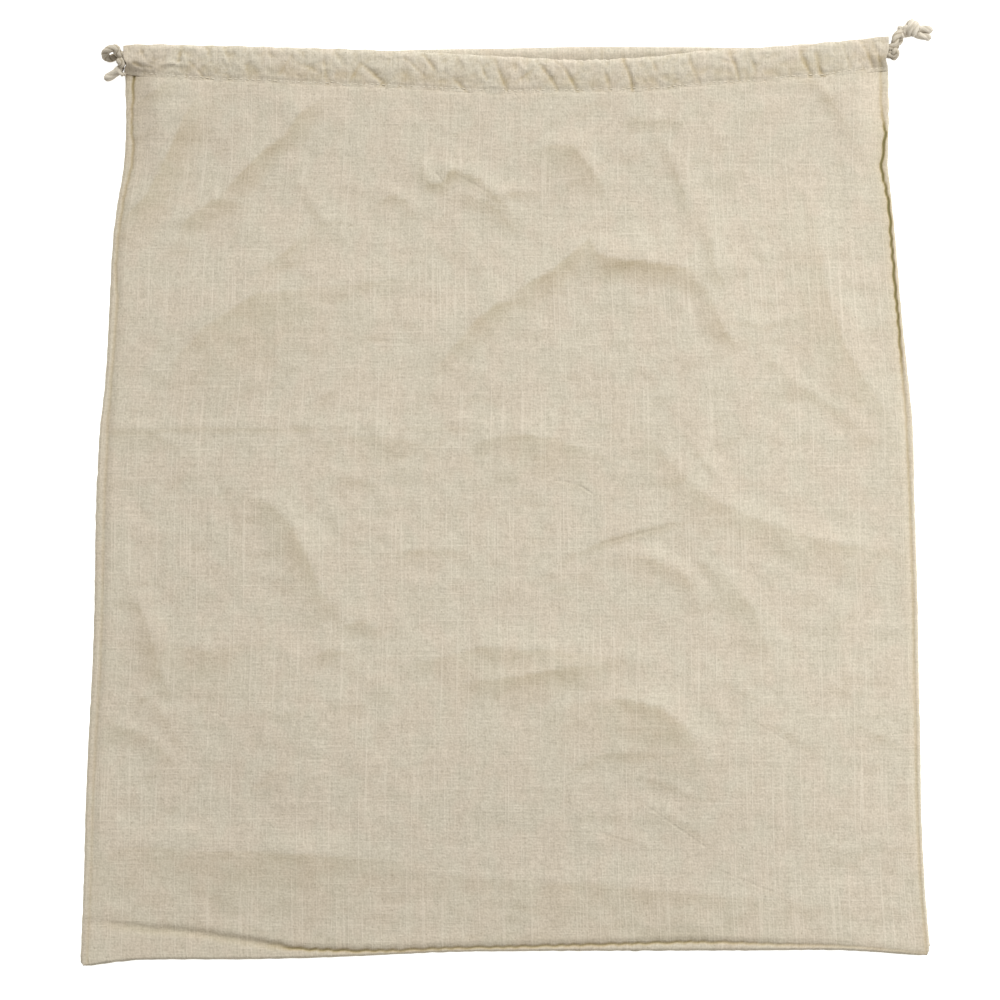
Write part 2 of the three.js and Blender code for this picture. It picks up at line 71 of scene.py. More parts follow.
# Folds of the front cloth. Each falls away from its crest over so many millimetres, sharply on the left of
# its run and softly on its right. These two come first, then the crest's points: x and y in the photo's
# pixels and the rise there in millimetres.
FOLDS = (
    # The long fold under the mouth, with the face that drops below it
    (15, 26, (704, 272, 1.0), (686, 268, 3.2), (650, 262, 4.2), (610, 258, 4.4), (597, 253, 3.8),
     (589, 238, 2.8), (575, 250, 3.4), (549, 272, 3.8), (530, 281, 3.2), (511, 295, 1.0)),
    (17, 20, (516, 300, 1.2), (497, 303, 3.2), (478, 318, 2.9), (460, 338, 2.2), (438, 366, 0.6)),
    (8, 18, (726, 286, 0.5), (714, 266, 2.4), (711, 240, 2.4), (700, 220, 0.8)),
    (13, 16, (742, 350, 0.3), (724, 330, 2.8), (716, 310, 2.5), (708, 290, 2.0), (688, 277, 0.5)),
    (5, 9, (815, 311, 0.2), (790, 316, 0.5), (762, 326, 0.7), (740, 320, 0.7), (720, 322, 0.5)),
    (12, 9, (870, 438, 0.4), (838, 410, 1.2), (798, 384, 1.4), (772, 360, 1.1), (756, 338, 0.4)),
    # Zigzags above it
    (9, 14, (516, 216, 0.6), (494, 194, 2.2), (480, 180, 2.4), (466, 174, 2.2), (448, 170, 1.8)),
    (8, 8, (450, 171, 1.6), (441, 184, 2.4), (431, 182, 2.4), (423, 165, 1.2)),
    (6, 9, (537, 192, 0.4), (514, 193, 1.2), (496, 195, 1.0)),
    (20, 9, (606, 192, 0.6), (590, 166, 2.8), (574, 146, 3.2), (548, 146, 1.8)),
    (10, 10, (686, 121, 0.4), (654, 120, 1.5), (632, 119, 1.3), (622, 121, 0.4)),
    (5, 6, (722, 150, 0.2), (706, 122, 0.7), (690, 98, 0.4)),
    (8, 12, (692, 230, 0.4), (686, 200, 1.6), (677, 175, 2.2), (671, 156, 1.7), (660, 141, 0.6)),
    (5, 8, (638, 214, 0.2), (605, 218, 0.5), (594, 214, 0.3)),
    (3, 6, (510, 294, 0.1), (505, 262, 0.3)),
    (10, 10, (516, 230, 0.4), (500, 210, 1.5), (482, 200, 1.6), (460, 192, 0.8)),
    (6, 10, (338, 222, 0.5), (324, 222, 1.1), (313, 205, 1.3), (303, 184, 0.5)),
    (9, 8, (416, 216, 0.4), (406, 200, 1.6), (392, 194, 1.5), (378, 204, 0.4)),
    # The top right and the right edge
    (9, 14, (862, 146, 0.3), (842, 116, 1.1), (824, 90, 1.6), (812, 78, 1.2)),
    (30, 16, (892, 420, 0.5), (868, 385, 2.2), (845, 345, 2.8), (828, 295, 2.4), (820, 250, 1.6),
     (814, 200, 0.4)),
    (4, 5, (750, 288, 0.2), (742, 268, 0.6), (734, 250, 0.3)),
    (4, 5, (771, 276, 0.1), (763, 254, 0.4)),
    (8, 12, (780, 102, 0.4), (752, 110, 0.9), (724, 126, 0.3)),
    # The top left
    (13, 16, (320, 101, 1.0), (300, 114, 3.6), (285, 136, 2.9), (262, 152, 3.4), (240, 174, 3.4),
     (220, 197, 1.2)),
    (20, 14, (204, 88, 0.8), (184, 118, 3.4), (166, 157, 3.9), (146, 195, 3.6), (123, 219, 1.2)),
    (13, 12, (238, 202, 0.8), (212, 200, 2.4), (186, 220, 2.1), (176, 238, 0.6)),
    (10, 8, (172, 82, 0.8), (152, 92, 1.8), (134, 106, 1.0)),
    (5, 6, (152, 128, 0.3), (128, 141, 0.6)),
    (5, 6, (148, 155, 0.3), (126, 160, 0.6)),
    (5, 8, (136, 243, 0.2), (118, 224, 0.7)),
    (15, 18, (308, 232, 0.8), (285, 252, 2.7), (258, 271, 1.0)),
    (48, 26, (330, 286, 0.6), (255, 294, 3.4), (205, 326, 2.6), (170, 364, 0.6)),
    (11, 14, (412, 278, 0.4), (370, 282, 1.2), (330, 286, 0.6)),
    # The line where it was folded for packing
    (4, 9, (720, 421, 0.2), (600, 422, 0.5), (520, 427, 0.2), (300, 427, 0.7), (106, 427, 0.9)),
    (12, 8, (190, 450, 0.3), (150, 430, 1.1), (112, 430, 0.6)),
    # The middle and the left
    (8, 10, (394, 485, 0.3), (352, 478, 0.9), (318, 470, 0.3)),
    (24, 14, (424, 444, 0.5), (376, 434, 1.8), (336, 438, 0.5)),
    (5, 8, (251, 552, 0.2), (241, 520, 0.7), (232, 498, 0.6), (222, 476, 0.2)),
    (19, 20, (340, 614, 0.4), (320, 586, 2.4), (306, 550, 3.4), (291, 522, 3.0), (273, 504, 1.9),
     (248, 492, 0.6)),
    (11, 14, (176, 706, 0.4), (161, 670, 1.7), (151, 632, 2.2), (141, 605, 1.9), (130, 590, 0.6)),
    (9, 10, (182, 744, 0.4), (171, 722, 1.3), (156, 705, 1.2), (140, 687, 0.5)),
    (13, 8, (192, 780, 0.3), (169, 753, 1.1), (145, 733, 1.3), (115, 722, 1.1), (92, 702, 0.5)),
    (9, 10, (384, 636, 0.3), (366, 617, 1.3), (346, 624, 1.0), (332, 634, 0.3)),
    (10, 8, (356, 655, 0.4), (330, 647, 1.2), (298, 661, 0.4)),
    (13, 12, (462, 548, 0.8), (420, 548, 1.9), (382, 551, 0.5)),
    (30, 14, (612, 458, 0.4), (556, 438, 2.4), (508, 432, 2.2), (474, 444, 0.5)),
    (4, 12, (598, 495, 0.2), (580, 484, 0.5), (556, 478, 0.2)),
    # The ridges that fan out at the right
    (22, 11, (900, 548, 0.5), (845, 545, 1.7), (790, 530, 2.0), (750, 516, 2.0), (715, 500, 2.0),
     (690, 482, 2.0), (662, 452, 1.7), (638, 422, 0.5)),
    (5, 7, (728, 492, 0.4), (712, 470, 1.0), (698, 450, 1.0), (686, 430, 0.4)),
    (6, 20, (692, 518, 0.4), (650, 526, 1.5), (605, 538, 1.7), (574, 553, 0.5)),
    (12, 9, (704, 596, 0.4), (680, 570, 2.0), (650, 556, 1.8), (618, 555, 0.4)),
    (6, 7, (722, 592, 0.4), (712, 572, 0.9), (702, 561, 0.3)),
    (22, 12, (768, 650, 0.4), (756, 612, 2.0), (738, 588, 1.7), (716, 566, 0.4)),
    (8, 12, (860, 720, 0.2), (851, 690, 0.6), (842, 640, 0.7), (834, 596, 0.2)),
    # The lower half
    (28, 16, (640, 660, 0.5), (560, 650, 2.2), (480, 646, 2.6), (424, 660, 0.7)),
    (18, 10, (606, 662, 0.5), (560, 667, 2.1), (510, 676, 2.1), (458, 682, 0.6)),
    (7, 8, (402, 704, 0.2), (388, 688, 0.8), (366, 671, 0.3)),
    (8, 9, (314, 706, 0.3), (290, 712, 0.8), (260, 706, 0.3)),
    (44, 14, (704, 752, 0.6), (686, 726, 3.2), (660, 706, 3.6), (630, 698, 3.0), (575, 700, 1.0)),
    (6, 8, (722, 760, 0.2), (660, 752, 0.5), (600, 752, 0.8), (572, 768, 0.3)),
    (6, 5, (908, 750, 0.3), (880, 735, 0.7), (850, 719, 0.3)),
    (4, 8, (804, 745, 0.2), (782, 727, 0.6), (755, 717, 0.2)),
    (4, 7, (766, 703, 0.2), (745, 690, 0.5), (720, 679, 0.2)),
    (4, 6, (724, 855, 0.2), (690, 826, 0.6), (638, 796, 0.3)),
    (4, 6, (662, 849, 0.2), (630, 838, 0.4), (598, 829, 0.2)),
    (5, 7, (797, 900, 0.2), (755, 881, 0.5), (714, 864, 0.2)),
    (4, 6, (706, 801, 0.2), (664, 781, 0.5), (628, 771, 0.1)),
    (5, 6, (858, 851, 0.2), (832, 846, 0.4), (816, 840, 0.1)),
    (10, 9, (300, 744, 0.3), (276, 768, 0.9), (250, 788, 0.4)),
    (50, 22, (440, 862, 0.5), (300, 852, 3.0), (130, 846, 1.6)),
    (36, 24, (250, 640, 0.5), (205, 650, 2.2), (160, 640, 1.0)),
    (40, 20, (840, 905, 0.4), (700, 892, 1.8), (560, 880, 2.0), (440, 874, 0.6)),
)

# Gathers of the front casing, in the same way. Most are valleys.
CASING_FOLDS = (
    (2.0, 3.0, (166, 70, 0.2), (169, 60, 0.9), (173, 47, 0.7)),
    (2.0, 2.2, (178, 68, -0.3), (181, 58, -0.8), (183, 47, -0.5)),
    (1.5, 2.5, (183, 67, 0.3), (172, 65, 0.8), (160, 67, 0.2)),
    (2.0, 1.6, (152, 69, -0.2), (142, 67, -0.7), (134, 64, -0.9)),
    (1.6, 1.8, (208, 82, -0.3), (199, 72, -0.7), (190, 63, -0.3)),
    (1.8, 2.2, (212, 64, -0.2), (210, 56, -0.5), (207, 46, -0.4)),
    (1.8, 2.2, (232, 66, -0.2), (228, 57, -0.6), (224, 46, -0.4)),
    (1.8, 2.2, (252, 84, -0.2), (248, 70, -0.4), (250, 56, -0.2)),
    (1.5, 1.8, (273, 66, -0.2), (271, 56, -0.5), (270, 46, -0.3)),
    (2.0, 2.4, (281, 76, -0.2), (286, 67, -0.6), (293, 58, -0.3)),
    (1.6, 2.4, (322, 76, -0.3), (310, 69, -0.5), (297, 65, -0.2)),
    (1.4, 1.8, (328, 88, -0.3), (325, 66, -0.5), (325, 50, -0.2)),
    (1.8, 2.4, (348, 88, -0.3), (354, 77, -0.8), (360, 67, -0.4)),
    (1.8, 2.4, (388, 90, -0.3), (375, 77, -0.8), (362, 66, -0.4)),
    (1.5, 2.0, (426, 79, -0.2), (416, 70, -0.6), (406, 61, -0.3)),
    (1.5, 2.0, (438, 76, -0.3), (431, 66, -0.8), (423, 56, -0.4)),
    (1.8, 2.4, (473, 102, -0.4), (464, 91, -0.9), (453, 80, -0.4)),
    (1.5, 2.0, (488, 85, -0.2), (484, 75, -0.7), (480, 64, -0.3)),
    (1.5, 2.0, (507, 92, -0.4), (500, 77, -0.7), (495, 61, -0.3)),
    (1.5, 2.0, (516, 84, -0.2), (525, 77, -0.5), (533, 71, -0.2)),
    (1.6, 2.4, (558, 92, -0.4), (547, 76, -0.8), (536, 62, -0.3)),
    (1.6, 2.6, (577, 94, -0.6), (570, 81, -1.0), (561, 66, -0.4)),
    (1.4, 2.0, (609, 92, -0.4), (607, 82, -0.7), (602, 70, -0.3)),
    (1.6, 2.4, (633, 96, -0.5), (629, 78, -1.1), (622, 60, -0.7)),
    (1.8, 2.2, (659, 80, -0.2), (654, 69, -0.5), (649, 58, -0.2)),
    (1.8, 2.4, (698, 84, -0.3), (692, 71, -0.6), (687, 56, -0.2)),
    (1.6, 2.4, (738, 82, -0.4), (734, 68, -0.9), (728, 54, -0.3)),
    (1.6, 2.2, (756, 76, -0.2), (751, 64, -0.6), (746, 53, -0.2)),
    (2.2, 2.6, (810, 78, -0.4), (804, 65, -1.1), (798, 52, -0.5)),
    (2.4, 2.8, (833, 96, -0.6), (820, 76, -1.0), (814, 54, -0.5)),
    (1.6, 2.0, (851, 72, -0.2), (846, 60, -0.5), (842, 48, -0.2)),
    (1.6, 2.4, (872, 70, -0.4), (867, 56, -0.9), (859, 44, -0.4)),
    (1.4, 1.8, (881, 70, -0.4), (877, 56, -0.7), (871, 42, -0.3)),
    (1.6, 2.2, (147, 62, -0.2), (143, 55, -0.6), (140, 46, -0.4)),
)

# The groove of each seam. A row has its place along the edge and how far in from the edge it runs, both in
# the photo's pixels, its depth in millimetres, and how dark it shows: painted shade in the groove, and the
# seam's own tan with painted shade beside it.
LEFT_GROOVE = (
    (70, 9, 0.9, 0.7), (92, 8, 0.9, 0.6), (112, 6.5, 0.8, 0.45), (131, 6, 0.8, 0.48),
    (151, 9, 0.7, 0.45), (190, 6, 0.6, 0.38), (230, 5.5, 0.5, 0.33), (273, 5, 0.4, 0.3),
    (300, 8, 0.4, 0.3), (340, 7, 0.3, 0.26), (380, 6, 0.3, 0.26), (450, 9, 0.2, 0.22),
    (620, 8, 0.15, 0.2), (960, 7, 0.15, 0.2),
)
RIGHT_GROOVE = (
    (66, 8, 0.3, 0.3), (104, 8.5, 0.4, 0.4), (122, 6, 0.7, 0.6), (132, 3.4, 1.0, 1.0),
    (142, 4.2, 1.0, 1.0), (150, 5.2, 1.0, 0.85),
    (160, 6.2, 1.0, 0.9), (172, 7.2, 1.0, 0.9), (187, 5.2, 1.0, 0.8), (205, 3.7, 1.0, 0.95),
    (220, 4, 1.0, 0.9), (235, 4.8, 1.0, 0.85), (265, 4.6, 1.0, 0.85),
    (292, 4.8, 1.0, 0.85), (320, 4.4, 0.9, 0.8), (350, 5.4, 0.8, 0.7),
    (380, 6.2, 0.6, 0.4), (430, 6.7, 0.4, 0.36), (500, 5, 0.35, 0.38),
    (620, 5, 0.3, 0.32), (760, 5, 0.3, 0.3), (960, 4, 0.3, 0.3),
)
BOTTOM_GROOVE = (
    (82, 44, 0.2, 0.1), (100, 42, 0.4, 0.3), (125, 35, 0.6, 0.45), (150, 30.5, 0.7, 0.5),
    (175, 29, 0.7, 0.5), (200, 26, 0.7, 0.5), (225, 22, 0.7, 0.55), (250, 18, 0.8, 0.6),
    (275, 13.5, 0.9, 0.65), (300, 9.5, 1.0, 0.7), (350, 6, 1.0, 0.7),
    (400, 4, 0.9, 0.6), (500, 4.5, 0.9, 0.6), (614, 7, 0.9, 0.6), (690, 9, 0.9, 0.6),
    (740, 8, 0.8, 0.5), (780, 6, 0.6, 0.4), (860, 4, 0.4, 0.25), (932, 3, 0.3, 0.2),
)

# Thin pressed creases of the front cloth: places as above, width and depth in millimetres.
Crease = namedtuple("Crease", "x1 y1 x2 y2 width depth")
CREASES = (
    Crease(556, 479, 584, 486, 1.9, 0.22),
    Crease(582, 485, 598, 495, 1.3, 0.3),
    Crease(640, 797, 722, 854, 1.4, 0.14),
    Crease(600, 831, 652, 847, 1.4, 0.12),
    Crease(720, 868, 796, 899, 1.5, 0.12),
    Crease(755, 718, 803, 745, 1.4, 0.12),
    Crease(690, 100, 716, 146, 1.4, 0.16),
    Crease(594, 546, 684, 524, 1.8, 0.2),
    Crease(424, 170, 440, 187, 1.6, 0.2),
    Crease(448, 175, 492, 196, 1.8, 0.2),
)

# The free points of each drawstring, as in the frame: millimetres past the casing's end, from the
# mouth line and up, from the knot to the front casing, round the bend, and back to the knot.
Drawstring = namedtuple("Drawstring", "side lane leave bend back")
DRAWSTRINGS = {
    "right": Drawstring(
        side=1,
        lane=1,
        leave=((8.2, 3.6, 5.4), (4.4, -0.8, 7.6)),
        bend=((4.5, -7.6, 8.9), (9.3, -8.6, 8.0), (11.3, -11.2, 5.6), (9.3, -13.2, 3.2), (4.5, -12.2, 2.2)),
        back=((5.2, -4.2, 2.8), (8.2, 0.4, 2.4)),
    ),
    "left": Drawstring(
        side=-1,
        lane=-1,
        leave=((1.4, -19.0, 6.4), (0.8, -15.8, 8.4)),
        bend=((3.0, -9.4, 8.7), (4.4, -10.6, 6.0), (3.0, -12.4, 3.4)),
        back=((0.8, -16.6, 2.8),),
    ),
}


# Reading the frame


def node_vertices(node):
    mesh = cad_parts[node].data
    places = np.empty(len(mesh.vertices) * 3)
    mesh.vertices.foreach_get("co", places)
    return places.reshape(-1, 3)


# Vertices less than this apart along a node belong to one station
SAME_STATION = 2e-5


def node_line(node, along, outermost, value):
    """At each station of a node along one axis, one coordinate of its outermost vertex on another."""
    axis, sign = outermost
    places = node_vertices(node)
    stations = np.unique(np.round(places[:, along], 5))
    values = []
    for station in stations:
        ring = places[np.abs(places[:, along] - station) < SAME_STATION]
        values.append(ring[np.argmax(sign * ring[:, axis]), value])
    return stations, np.array(values)


X, Y, Z = 0, 1, 2
LEFT_EDGE = node_line("left_seam", Y, (X, -1), X)
RIGHT_EDGE = node_line("right_seam", Y, (X, 1), X)
BOTTOM_EDGE = node_line("bottom_seam", X, (Y, -1), Y)
TOP = {side: node_line(f"{side}_casing", X, (Y, 1), Y) for side in ("front", "back")}
TIP = {side: node_line(f"{side}_casing", X, (Y, 1), Z) for side in ("front", "back")}
STITCH = {side: node_line(f"{side}_casing", X, (Y, -1), Y) for side in ("front", "back")}
LIP = {side: node_line(f"{side}_casing", X, (Z, -1), Z) for side in ("front", "back")}


def at(line, places):
    return np.interp(places, *line)


def photo_place(x, y):
    return (x - ORIGIN_PIXEL[0]) * PIXEL, (ORIGIN_PIXEL[1] - y) * PIXEL


def smooth(value, low, high):
    share = np.clip((value - low) / (high - low), 0, 1)
    return share * share * (3 - 2 * share)


# How round the crest of a fold is, in shares of its reach, and how hollow its flanks are
CREST = 0.05
HOLLOW = 1.5
# The share of the charted rise that a fold has, how much painted shade, in tan, slopes that face away from
# the light get, and how much painted shade a fold's sharp side gets for each charted millimetre
FOLD_RISE = 0.52
SLOPE_PAINTED_SHADE = 0.7
RIDGE_PAINTED_SHADE = 0.042


def fold_relief(folds, x, y):
    """How much a table of folds lifts the cloth at each place, and the painted shade beside its ridges."""
    height = np.zeros_like(x)
    shade = np.zeros_like(x)
    for sharp, soft, *crest in folds:
        nearest = np.full_like(x, np.inf)
        lift = np.zeros_like(x)
        tone = np.zeros_like(x)
        for (*start, start_rise), (*end, end_rise) in zip(crest, crest[1:]):
            x1, y1 = photo_place(*start)
            x2, y2 = photo_place(*end)
            run = np.array([x2 - x1, y2 - y1])
            length = np.linalg.norm(run)
            run /= length
            share = np.clip(((x - x1) * run[0] + (y - y1) * run[1]) / length, 0, 1)
            away_x = x - x1 - share * length * run[0]
            away_y = y - y1 - share * length * run[1]
            away = np.hypot(away_x, away_y) + 1e-9
            lean = (run[0] * away_y - run[1] * away_x) / away
            reach = ((soft + sharp) / 2 + lean * (sharp - soft) / 2) * MM
            rise = (start_rise + (end_rise - start_rise) * share) * MM
            steps = np.sqrt((away / reach) ** 2 + CREST**2) - CREST
            here = rise * np.clip(1 - steps, 0, 1) ** HOLLOW
            lift = np.where(np.abs(here) > np.abs(lift), here, lift)
            # Painted shade on the sharp side of the crest, strongest at the ridge and fading towards its foot
            facing = np.clip(lean * 1.5, 0, 1) * np.clip(away / MM, 0, 1)
            dark = RIDGE_PAINTED_SHADE * np.abs(rise) / MM * facing * np.clip(1.05 - away / reach, 0, 1)
            tone = np.where(away < nearest, dark, tone)
            nearest = np.minimum(nearest, away)
        height += lift
        shade += tone
    return height, shade


# The random reliefs are fields of so many cells along each side, over so many metres
RELIEF_CELLS = 512
RELIEF_SPAN = 0.64


@lru_cache
def crumple(seed, low, high):
    """An even random relief, in shares of its own height, with waves between two lengths in metres."""
    cells, span = RELIEF_CELLS, RELIEF_SPAN
    rng = np.random.default_rng(seed)
    waves = np.fft.fftfreq(cells, span / cells)
    across, along = np.meshgrid(waves, waves)
    rate = np.hypot(across, along) + 1e-9
    keep = np.exp(-((rate * low) ** 2)) * (1 - np.exp(-((rate * high) ** 2)))
    field = np.fft.ifft2(np.fft.fft2(rng.standard_normal((cells, cells))) * keep).real
    field /= field.std()

    def sample(x, y):
        column = (x / span + 0.5) * (cells - 1)
        row = (y / span + 0.5) * (cells - 1)
        i = np.clip(column.astype(int), 0, cells - 2)
        j = np.clip(row.astype(int), 0, cells - 2)
        s, t = column - i, row - j
        low_row = field[j, i] * (1 - s) + field[j, i + 1] * s
        high_row = field[j + 1, i] * (1 - s) + field[j + 1, i + 1] * s
        return low_row * (1 - t) + high_row * t

    return sample


# The nodes along each side of a net of facets, and how far it is bent in shares of a facet
FACET_NET = 90
FACET_BEND = 0.35


def facets(seed, cell, turn):
    """An even relief of flat facets with straight edges, from -1 to 1, on a turned and bent net."""
    rng = np.random.default_rng(seed)
    nodes = rng.uniform(-1, 1, (FACET_NET, FACET_NET))
    flipped = rng.random((FACET_NET, FACET_NET)) < 0.5
    bend_x, bend_y = crumple(seed + 1, 0.02, 0.08), crumple(seed + 2, 0.02, 0.08)
    ahead, across = math.cos(math.radians(turn)), math.sin(math.radians(turn))

    def sample(x, y):
        column = (x * ahead + y * across) / cell + FACET_NET / 2 + FACET_BEND * bend_x(x, y)
        row = (y * ahead - x * across) / cell + FACET_NET / 2 + FACET_BEND * bend_y(x, y)
        i, j = (np.clip(place.astype(int), 0, FACET_NET - 2) for place in (column, row))
        s, t = column - i, row - j
        a, b, c, d = nodes[j, i], nodes[j, i + 1], nodes[j + 1, i], nodes[j + 1, i + 1]
        one = np.where(s > t, a + (b - a) * s + (d - b) * t, a + (c - a) * t + (d - c) * s)
        low = a + (b - a) * s + (c - a) * t
        other = np.where(s + t < 1, low, d + (c - d) * (1 - s) + (b - d) * (1 - t))
        return np.where(flipped[j, i], one, other)

    return sample


# Meshes


def mesh_object(name, points, faces, uv=None):
    mesh = bpy.data.meshes.new(name)
    mesh.from_pydata(points, [], faces)
    if uv is not None:
        layer = mesh.uv_layers.new(name="Cloth")
        corners = np.empty(len(mesh.loops), int)
        mesh.loops.foreach_get("vertex_index", corners)
        layer.data.foreach_set("uv", np.asarray(uv)[corners].ravel())
    mesh.polygons.foreach_set("use_smooth", np.ones(len(mesh.polygons), bool))
    mesh.update()
    obj = bpy.data.objects.new(name, mesh)
    bpy.context.scene.collection.objects.link(obj)
    return obj


def grid_faces(rows, columns, first=0, flip=False):
    """Quads over a grid of points, row by row, facing +Z when rows run +Y and columns +X."""
    row, column = np.mgrid[0 : rows - 1, 0 : columns - 1]
    a = first + row * columns + column
    quads = np.stack([a, a + 1, a + columns + 1, a + columns], -1).reshape(-1, 4)
    return (quads[:, ::-1] if flip else quads).tolist()


def cloth_object(name, top, uv, thickness):
    """A closed sheet of cloth under a grid of points, with half as many cells on its underside."""
    rows, columns = top.shape[:2]
    under = top[::2, ::2].copy()
    under[..., 2] -= thickness
    low_rows, low_columns = under.shape[:2]
    first = rows * columns
    faces = grid_faces(rows, columns) + grid_faces(low_rows, low_columns, first, flip=True)

    def rim(upper, lower, flip):
        for k in range(len(lower) - 1):
            u = upper[2 * k : 2 * k + 3]
            a, b = lower[k], lower[k + 1]
            ring = [(a, u[1], u[0]), (a, b, u[1]), (b, u[2], u[1])]
            faces.extend(tuple(reversed(face)) if flip else face for face in ring)

    index = np.arange(first).reshape(rows, columns)
    low_index = first + np.arange(low_rows * low_columns).reshape(low_rows, low_columns)
    rim(index[0], low_index[0], False)
    rim(index[-1], low_index[-1], True)
    rim(index[:, 0], low_index[:, 0], True)
    rim(index[:, -1], low_index[:, -1], False)
    points = np.concatenate([top.reshape(-1, 3), under.reshape(-1, 3)])
    flat = np.concatenate([uv.reshape(-1, 2), uv[::2, ::2].reshape(-1, 2)])
    return mesh_object(name, points.tolist(), faces, flat)


def tube_faces(rings, sides, first=0):
    """Quads over rings of points that close on themselves."""
    row, side = np.mgrid[0 : rings - 1, 0:sides]
    a = first + row * sides + side
    b = first + row * sides + (side + 1) % sides
    return np.stack([a, b, b + sides, a + sides], -1).reshape(-1, 4).tolist()


def capped_tube_faces(rings, sides, first=0):
    """A tube's faces with one more at each end."""
    last = first + (rings - 1) * sides
    caps = [tuple(range(first + sides - 1, first - 1, -1)), tuple(range(last, last + sides))]
    return tube_faces(rings, sides, first) + caps


def spline(points, steps):
    """A smooth line through points, cut into equal lengths of about one step."""
    points = np.asarray(points, float)
    padded = np.vstack([2 * points[0] - points[1], points, 2 * points[-1] - points[-2]])
    line = []
    for a, b, c, d in zip(padded, padded[1:], padded[2:], padded[3:]):
        count = max(2, int(np.linalg.norm(c - b) / (steps / 4)))
        t = np.linspace(0, 1, count, endpoint=False)[:, None]
        line.append(
            0.5 * (2 * b + (c - a) * t + (2 * a - 5 * b + 4 * c - d) * t**2 + (3 * b - a - 3 * c + d) * t**3)
        )
    line = np.vstack(line + [points[-1:]])
    lengths = np.concatenate([[0], np.cumsum(np.linalg.norm(np.diff(line, axis=0), axis=1))])
    count = max(4, int(lengths[-1] / steps))
    places = np.linspace(0, lengths[-1], count + 1)
    return np.stack([np.interp(places, lengths, line[:, k]) for k in range(3)], -1), lengths[-1]


Rope = namedtuple("Rope", "points girth")
# A rope's radius in the grooves between its strands, how much more it is on their crowns, and how blunt
# its ends are
GROOVE_RADIUS = 0.86
CROWN_RISE = 0.16
BLUNT = 0.03
POINTS_PER_STRAND = 5


def rope_object(name, ropes, strands=3, lay=0.014, step=0.0008):
    """Twisted cords with rounded ends; a girth is one diameter, or a function of a point on the line.

    Each ring of points turns with the strands. Lay holds the way along and around a strand, and
    Strand runs from 0 in the grooves between strands to 1 on their crowns."""
    points, faces, places, crowns = [], [], [], []
    sides = strands * POINTS_PER_STRAND
    for rope in ropes:
        path, length = spline(rope.points, step)
        tangents = np.gradient(path, axis=0)
        tangents /= np.linalg.norm(tangents, axis=1)[:, None]
        side = Vector(tangents[0]).orthogonal().normalized()
        around = np.arange(sides) * 2 * math.pi / sides
        crown = np.abs(np.sin(strands / 2 * around))
        first = len(points)
        for k, (centre, tangent) in enumerate(zip(path, tangents)):
            tangent = Vector(tangent)
            side = (side - tangent * side.dot(tangent)).normalized()
            other = tangent.cross(side)
            radius = (rope.girth(centre) if callable(rope.girth) else rope.girth) / 2
            run = length * k / (len(path) - 1)
            end = min(min(run, length - run) / radius, 1)
            taper = math.sqrt(max(1 - (1 - end) ** 2, BLUNT))
            turn = 2 * math.pi * run / lay
            for angle, high in zip(around, crown):
                reach = (GROOVE_RADIUS + CROWN_RISE * high) * taper * radius
                offset = side * math.cos(angle + turn) * reach + other * math.sin(angle + turn) * reach
                points.append(tuple(Vector(centre) + offset))
                places.append((run, math.cos(angle) * radius, math.sin(angle) * radius))
                crowns.append(high)
        faces += capped_tube_faces(len(path), sides, first)
    rope = mesh_object(name, points, faces)
    lay_places = rope.data.attributes.new("Lay", "FLOAT_VECTOR", "POINT")
    lay_places.data.foreach_set("vector", np.array(places).ravel())
    point_values(rope, "Strand", crowns)
    return rope


def point_values(obj, name, values):
    """Writes one number to each vertex, which a material reads by its name."""
    attribute = obj.data.attributes.new(name, "FLOAT", "POINT")
    attribute.data.foreach_set("value", np.asarray(values, float).ravel())


def finish_piece(obj, material, slot, *nodes):
    obj.data.materials.clear()
    obj.data.materials.append(material)
    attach(obj, "root")
    if nodes:
        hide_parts(*nodes)
    return obj


# Materials


class Tree:
    """Adds nodes to a node tree and links them, from left to right."""

    def __init__(self, tree):
        self.tree = tree
        self.column = 0

    def node(self, kind, inputs=(), **settings):
        node = self.tree.nodes.new(kind)
        self.column += 1
        node.location = (self.column * 180, 0)
        for name, value in settings.items():
            setattr(node, name, value)
        for socket, value in dict(inputs).items():
            self.set(node.inputs[socket], value)
        return node

    def set(self, socket, value):
        if isinstance(value, bpy.types.NodeSocket):
            self.tree.links.new(value, socket)
        else:
            socket.default_value = value

    def math(self, operation, *values, clamp=False):
        node = self.node("ShaderNodeMath", enumerate(values), operation=operation, use_clamp=clamp)
        return node.outputs[0]

    def vector(self, operation, *values):
        node = self.node("ShaderNodeVectorMath", enumerate(values), operation=operation)
        return node.outputs["Value" if operation in ("DOT_PRODUCT", "LENGTH") else "Vector"]

    def ranged(self, value, low, high, to_low=0.0, to_high=1.0, smooth_step=True):
        node = self.node(
            "ShaderNodeMapRange",
            {"Value": value, "From Min": low, "From Max": high, "To Min": to_low, "To Max": to_high},
            interpolation_type="SMOOTHSTEP" if smooth_step else "LINEAR",
        )
        return node.outputs["Result"]

    def stretched_noise(self, place, along_x, along_y, detail=2.0, shift=0.0):
        """Noise whose patches are so many metres long in each direction."""
        scaled = self.node(
            "ShaderNodeMapping",
            {"Vector": place, "Scale": (1 / along_x, 1 / along_y, 1), "Location": (shift, shift, 0)},
        )
        noise = self.node(
            "ShaderNodeTexNoise",
            {"Vector": scaled.outputs[0], "Scale": 1.0, "Detail": detail, "Roughness": 0.55},
            noise_dimensions="2D",
        )
        return noise.outputs["Fac"]

    def noise(self, place, scale, detail):
        node = self.node("ShaderNodeTexNoise", {"Vector": place, "Scale": scale, "Detail": detail})
        return node.outputs["Fac"]

    def attribute(self, name, output="Fac"):
        return self.node("ShaderNodeAttribute", attribute_name=name).outputs[output]

    def mix(self, factor, one, other, blend="MIX"):
        node = self.node("ShaderNodeMix", data_type="RGBA", blend_type=blend)
        self.set(node.inputs["Factor"], factor)
        self.set(node.inputs["A"], one)
        self.set(node.inputs["B"], other)
        return node.outputs["Result"]


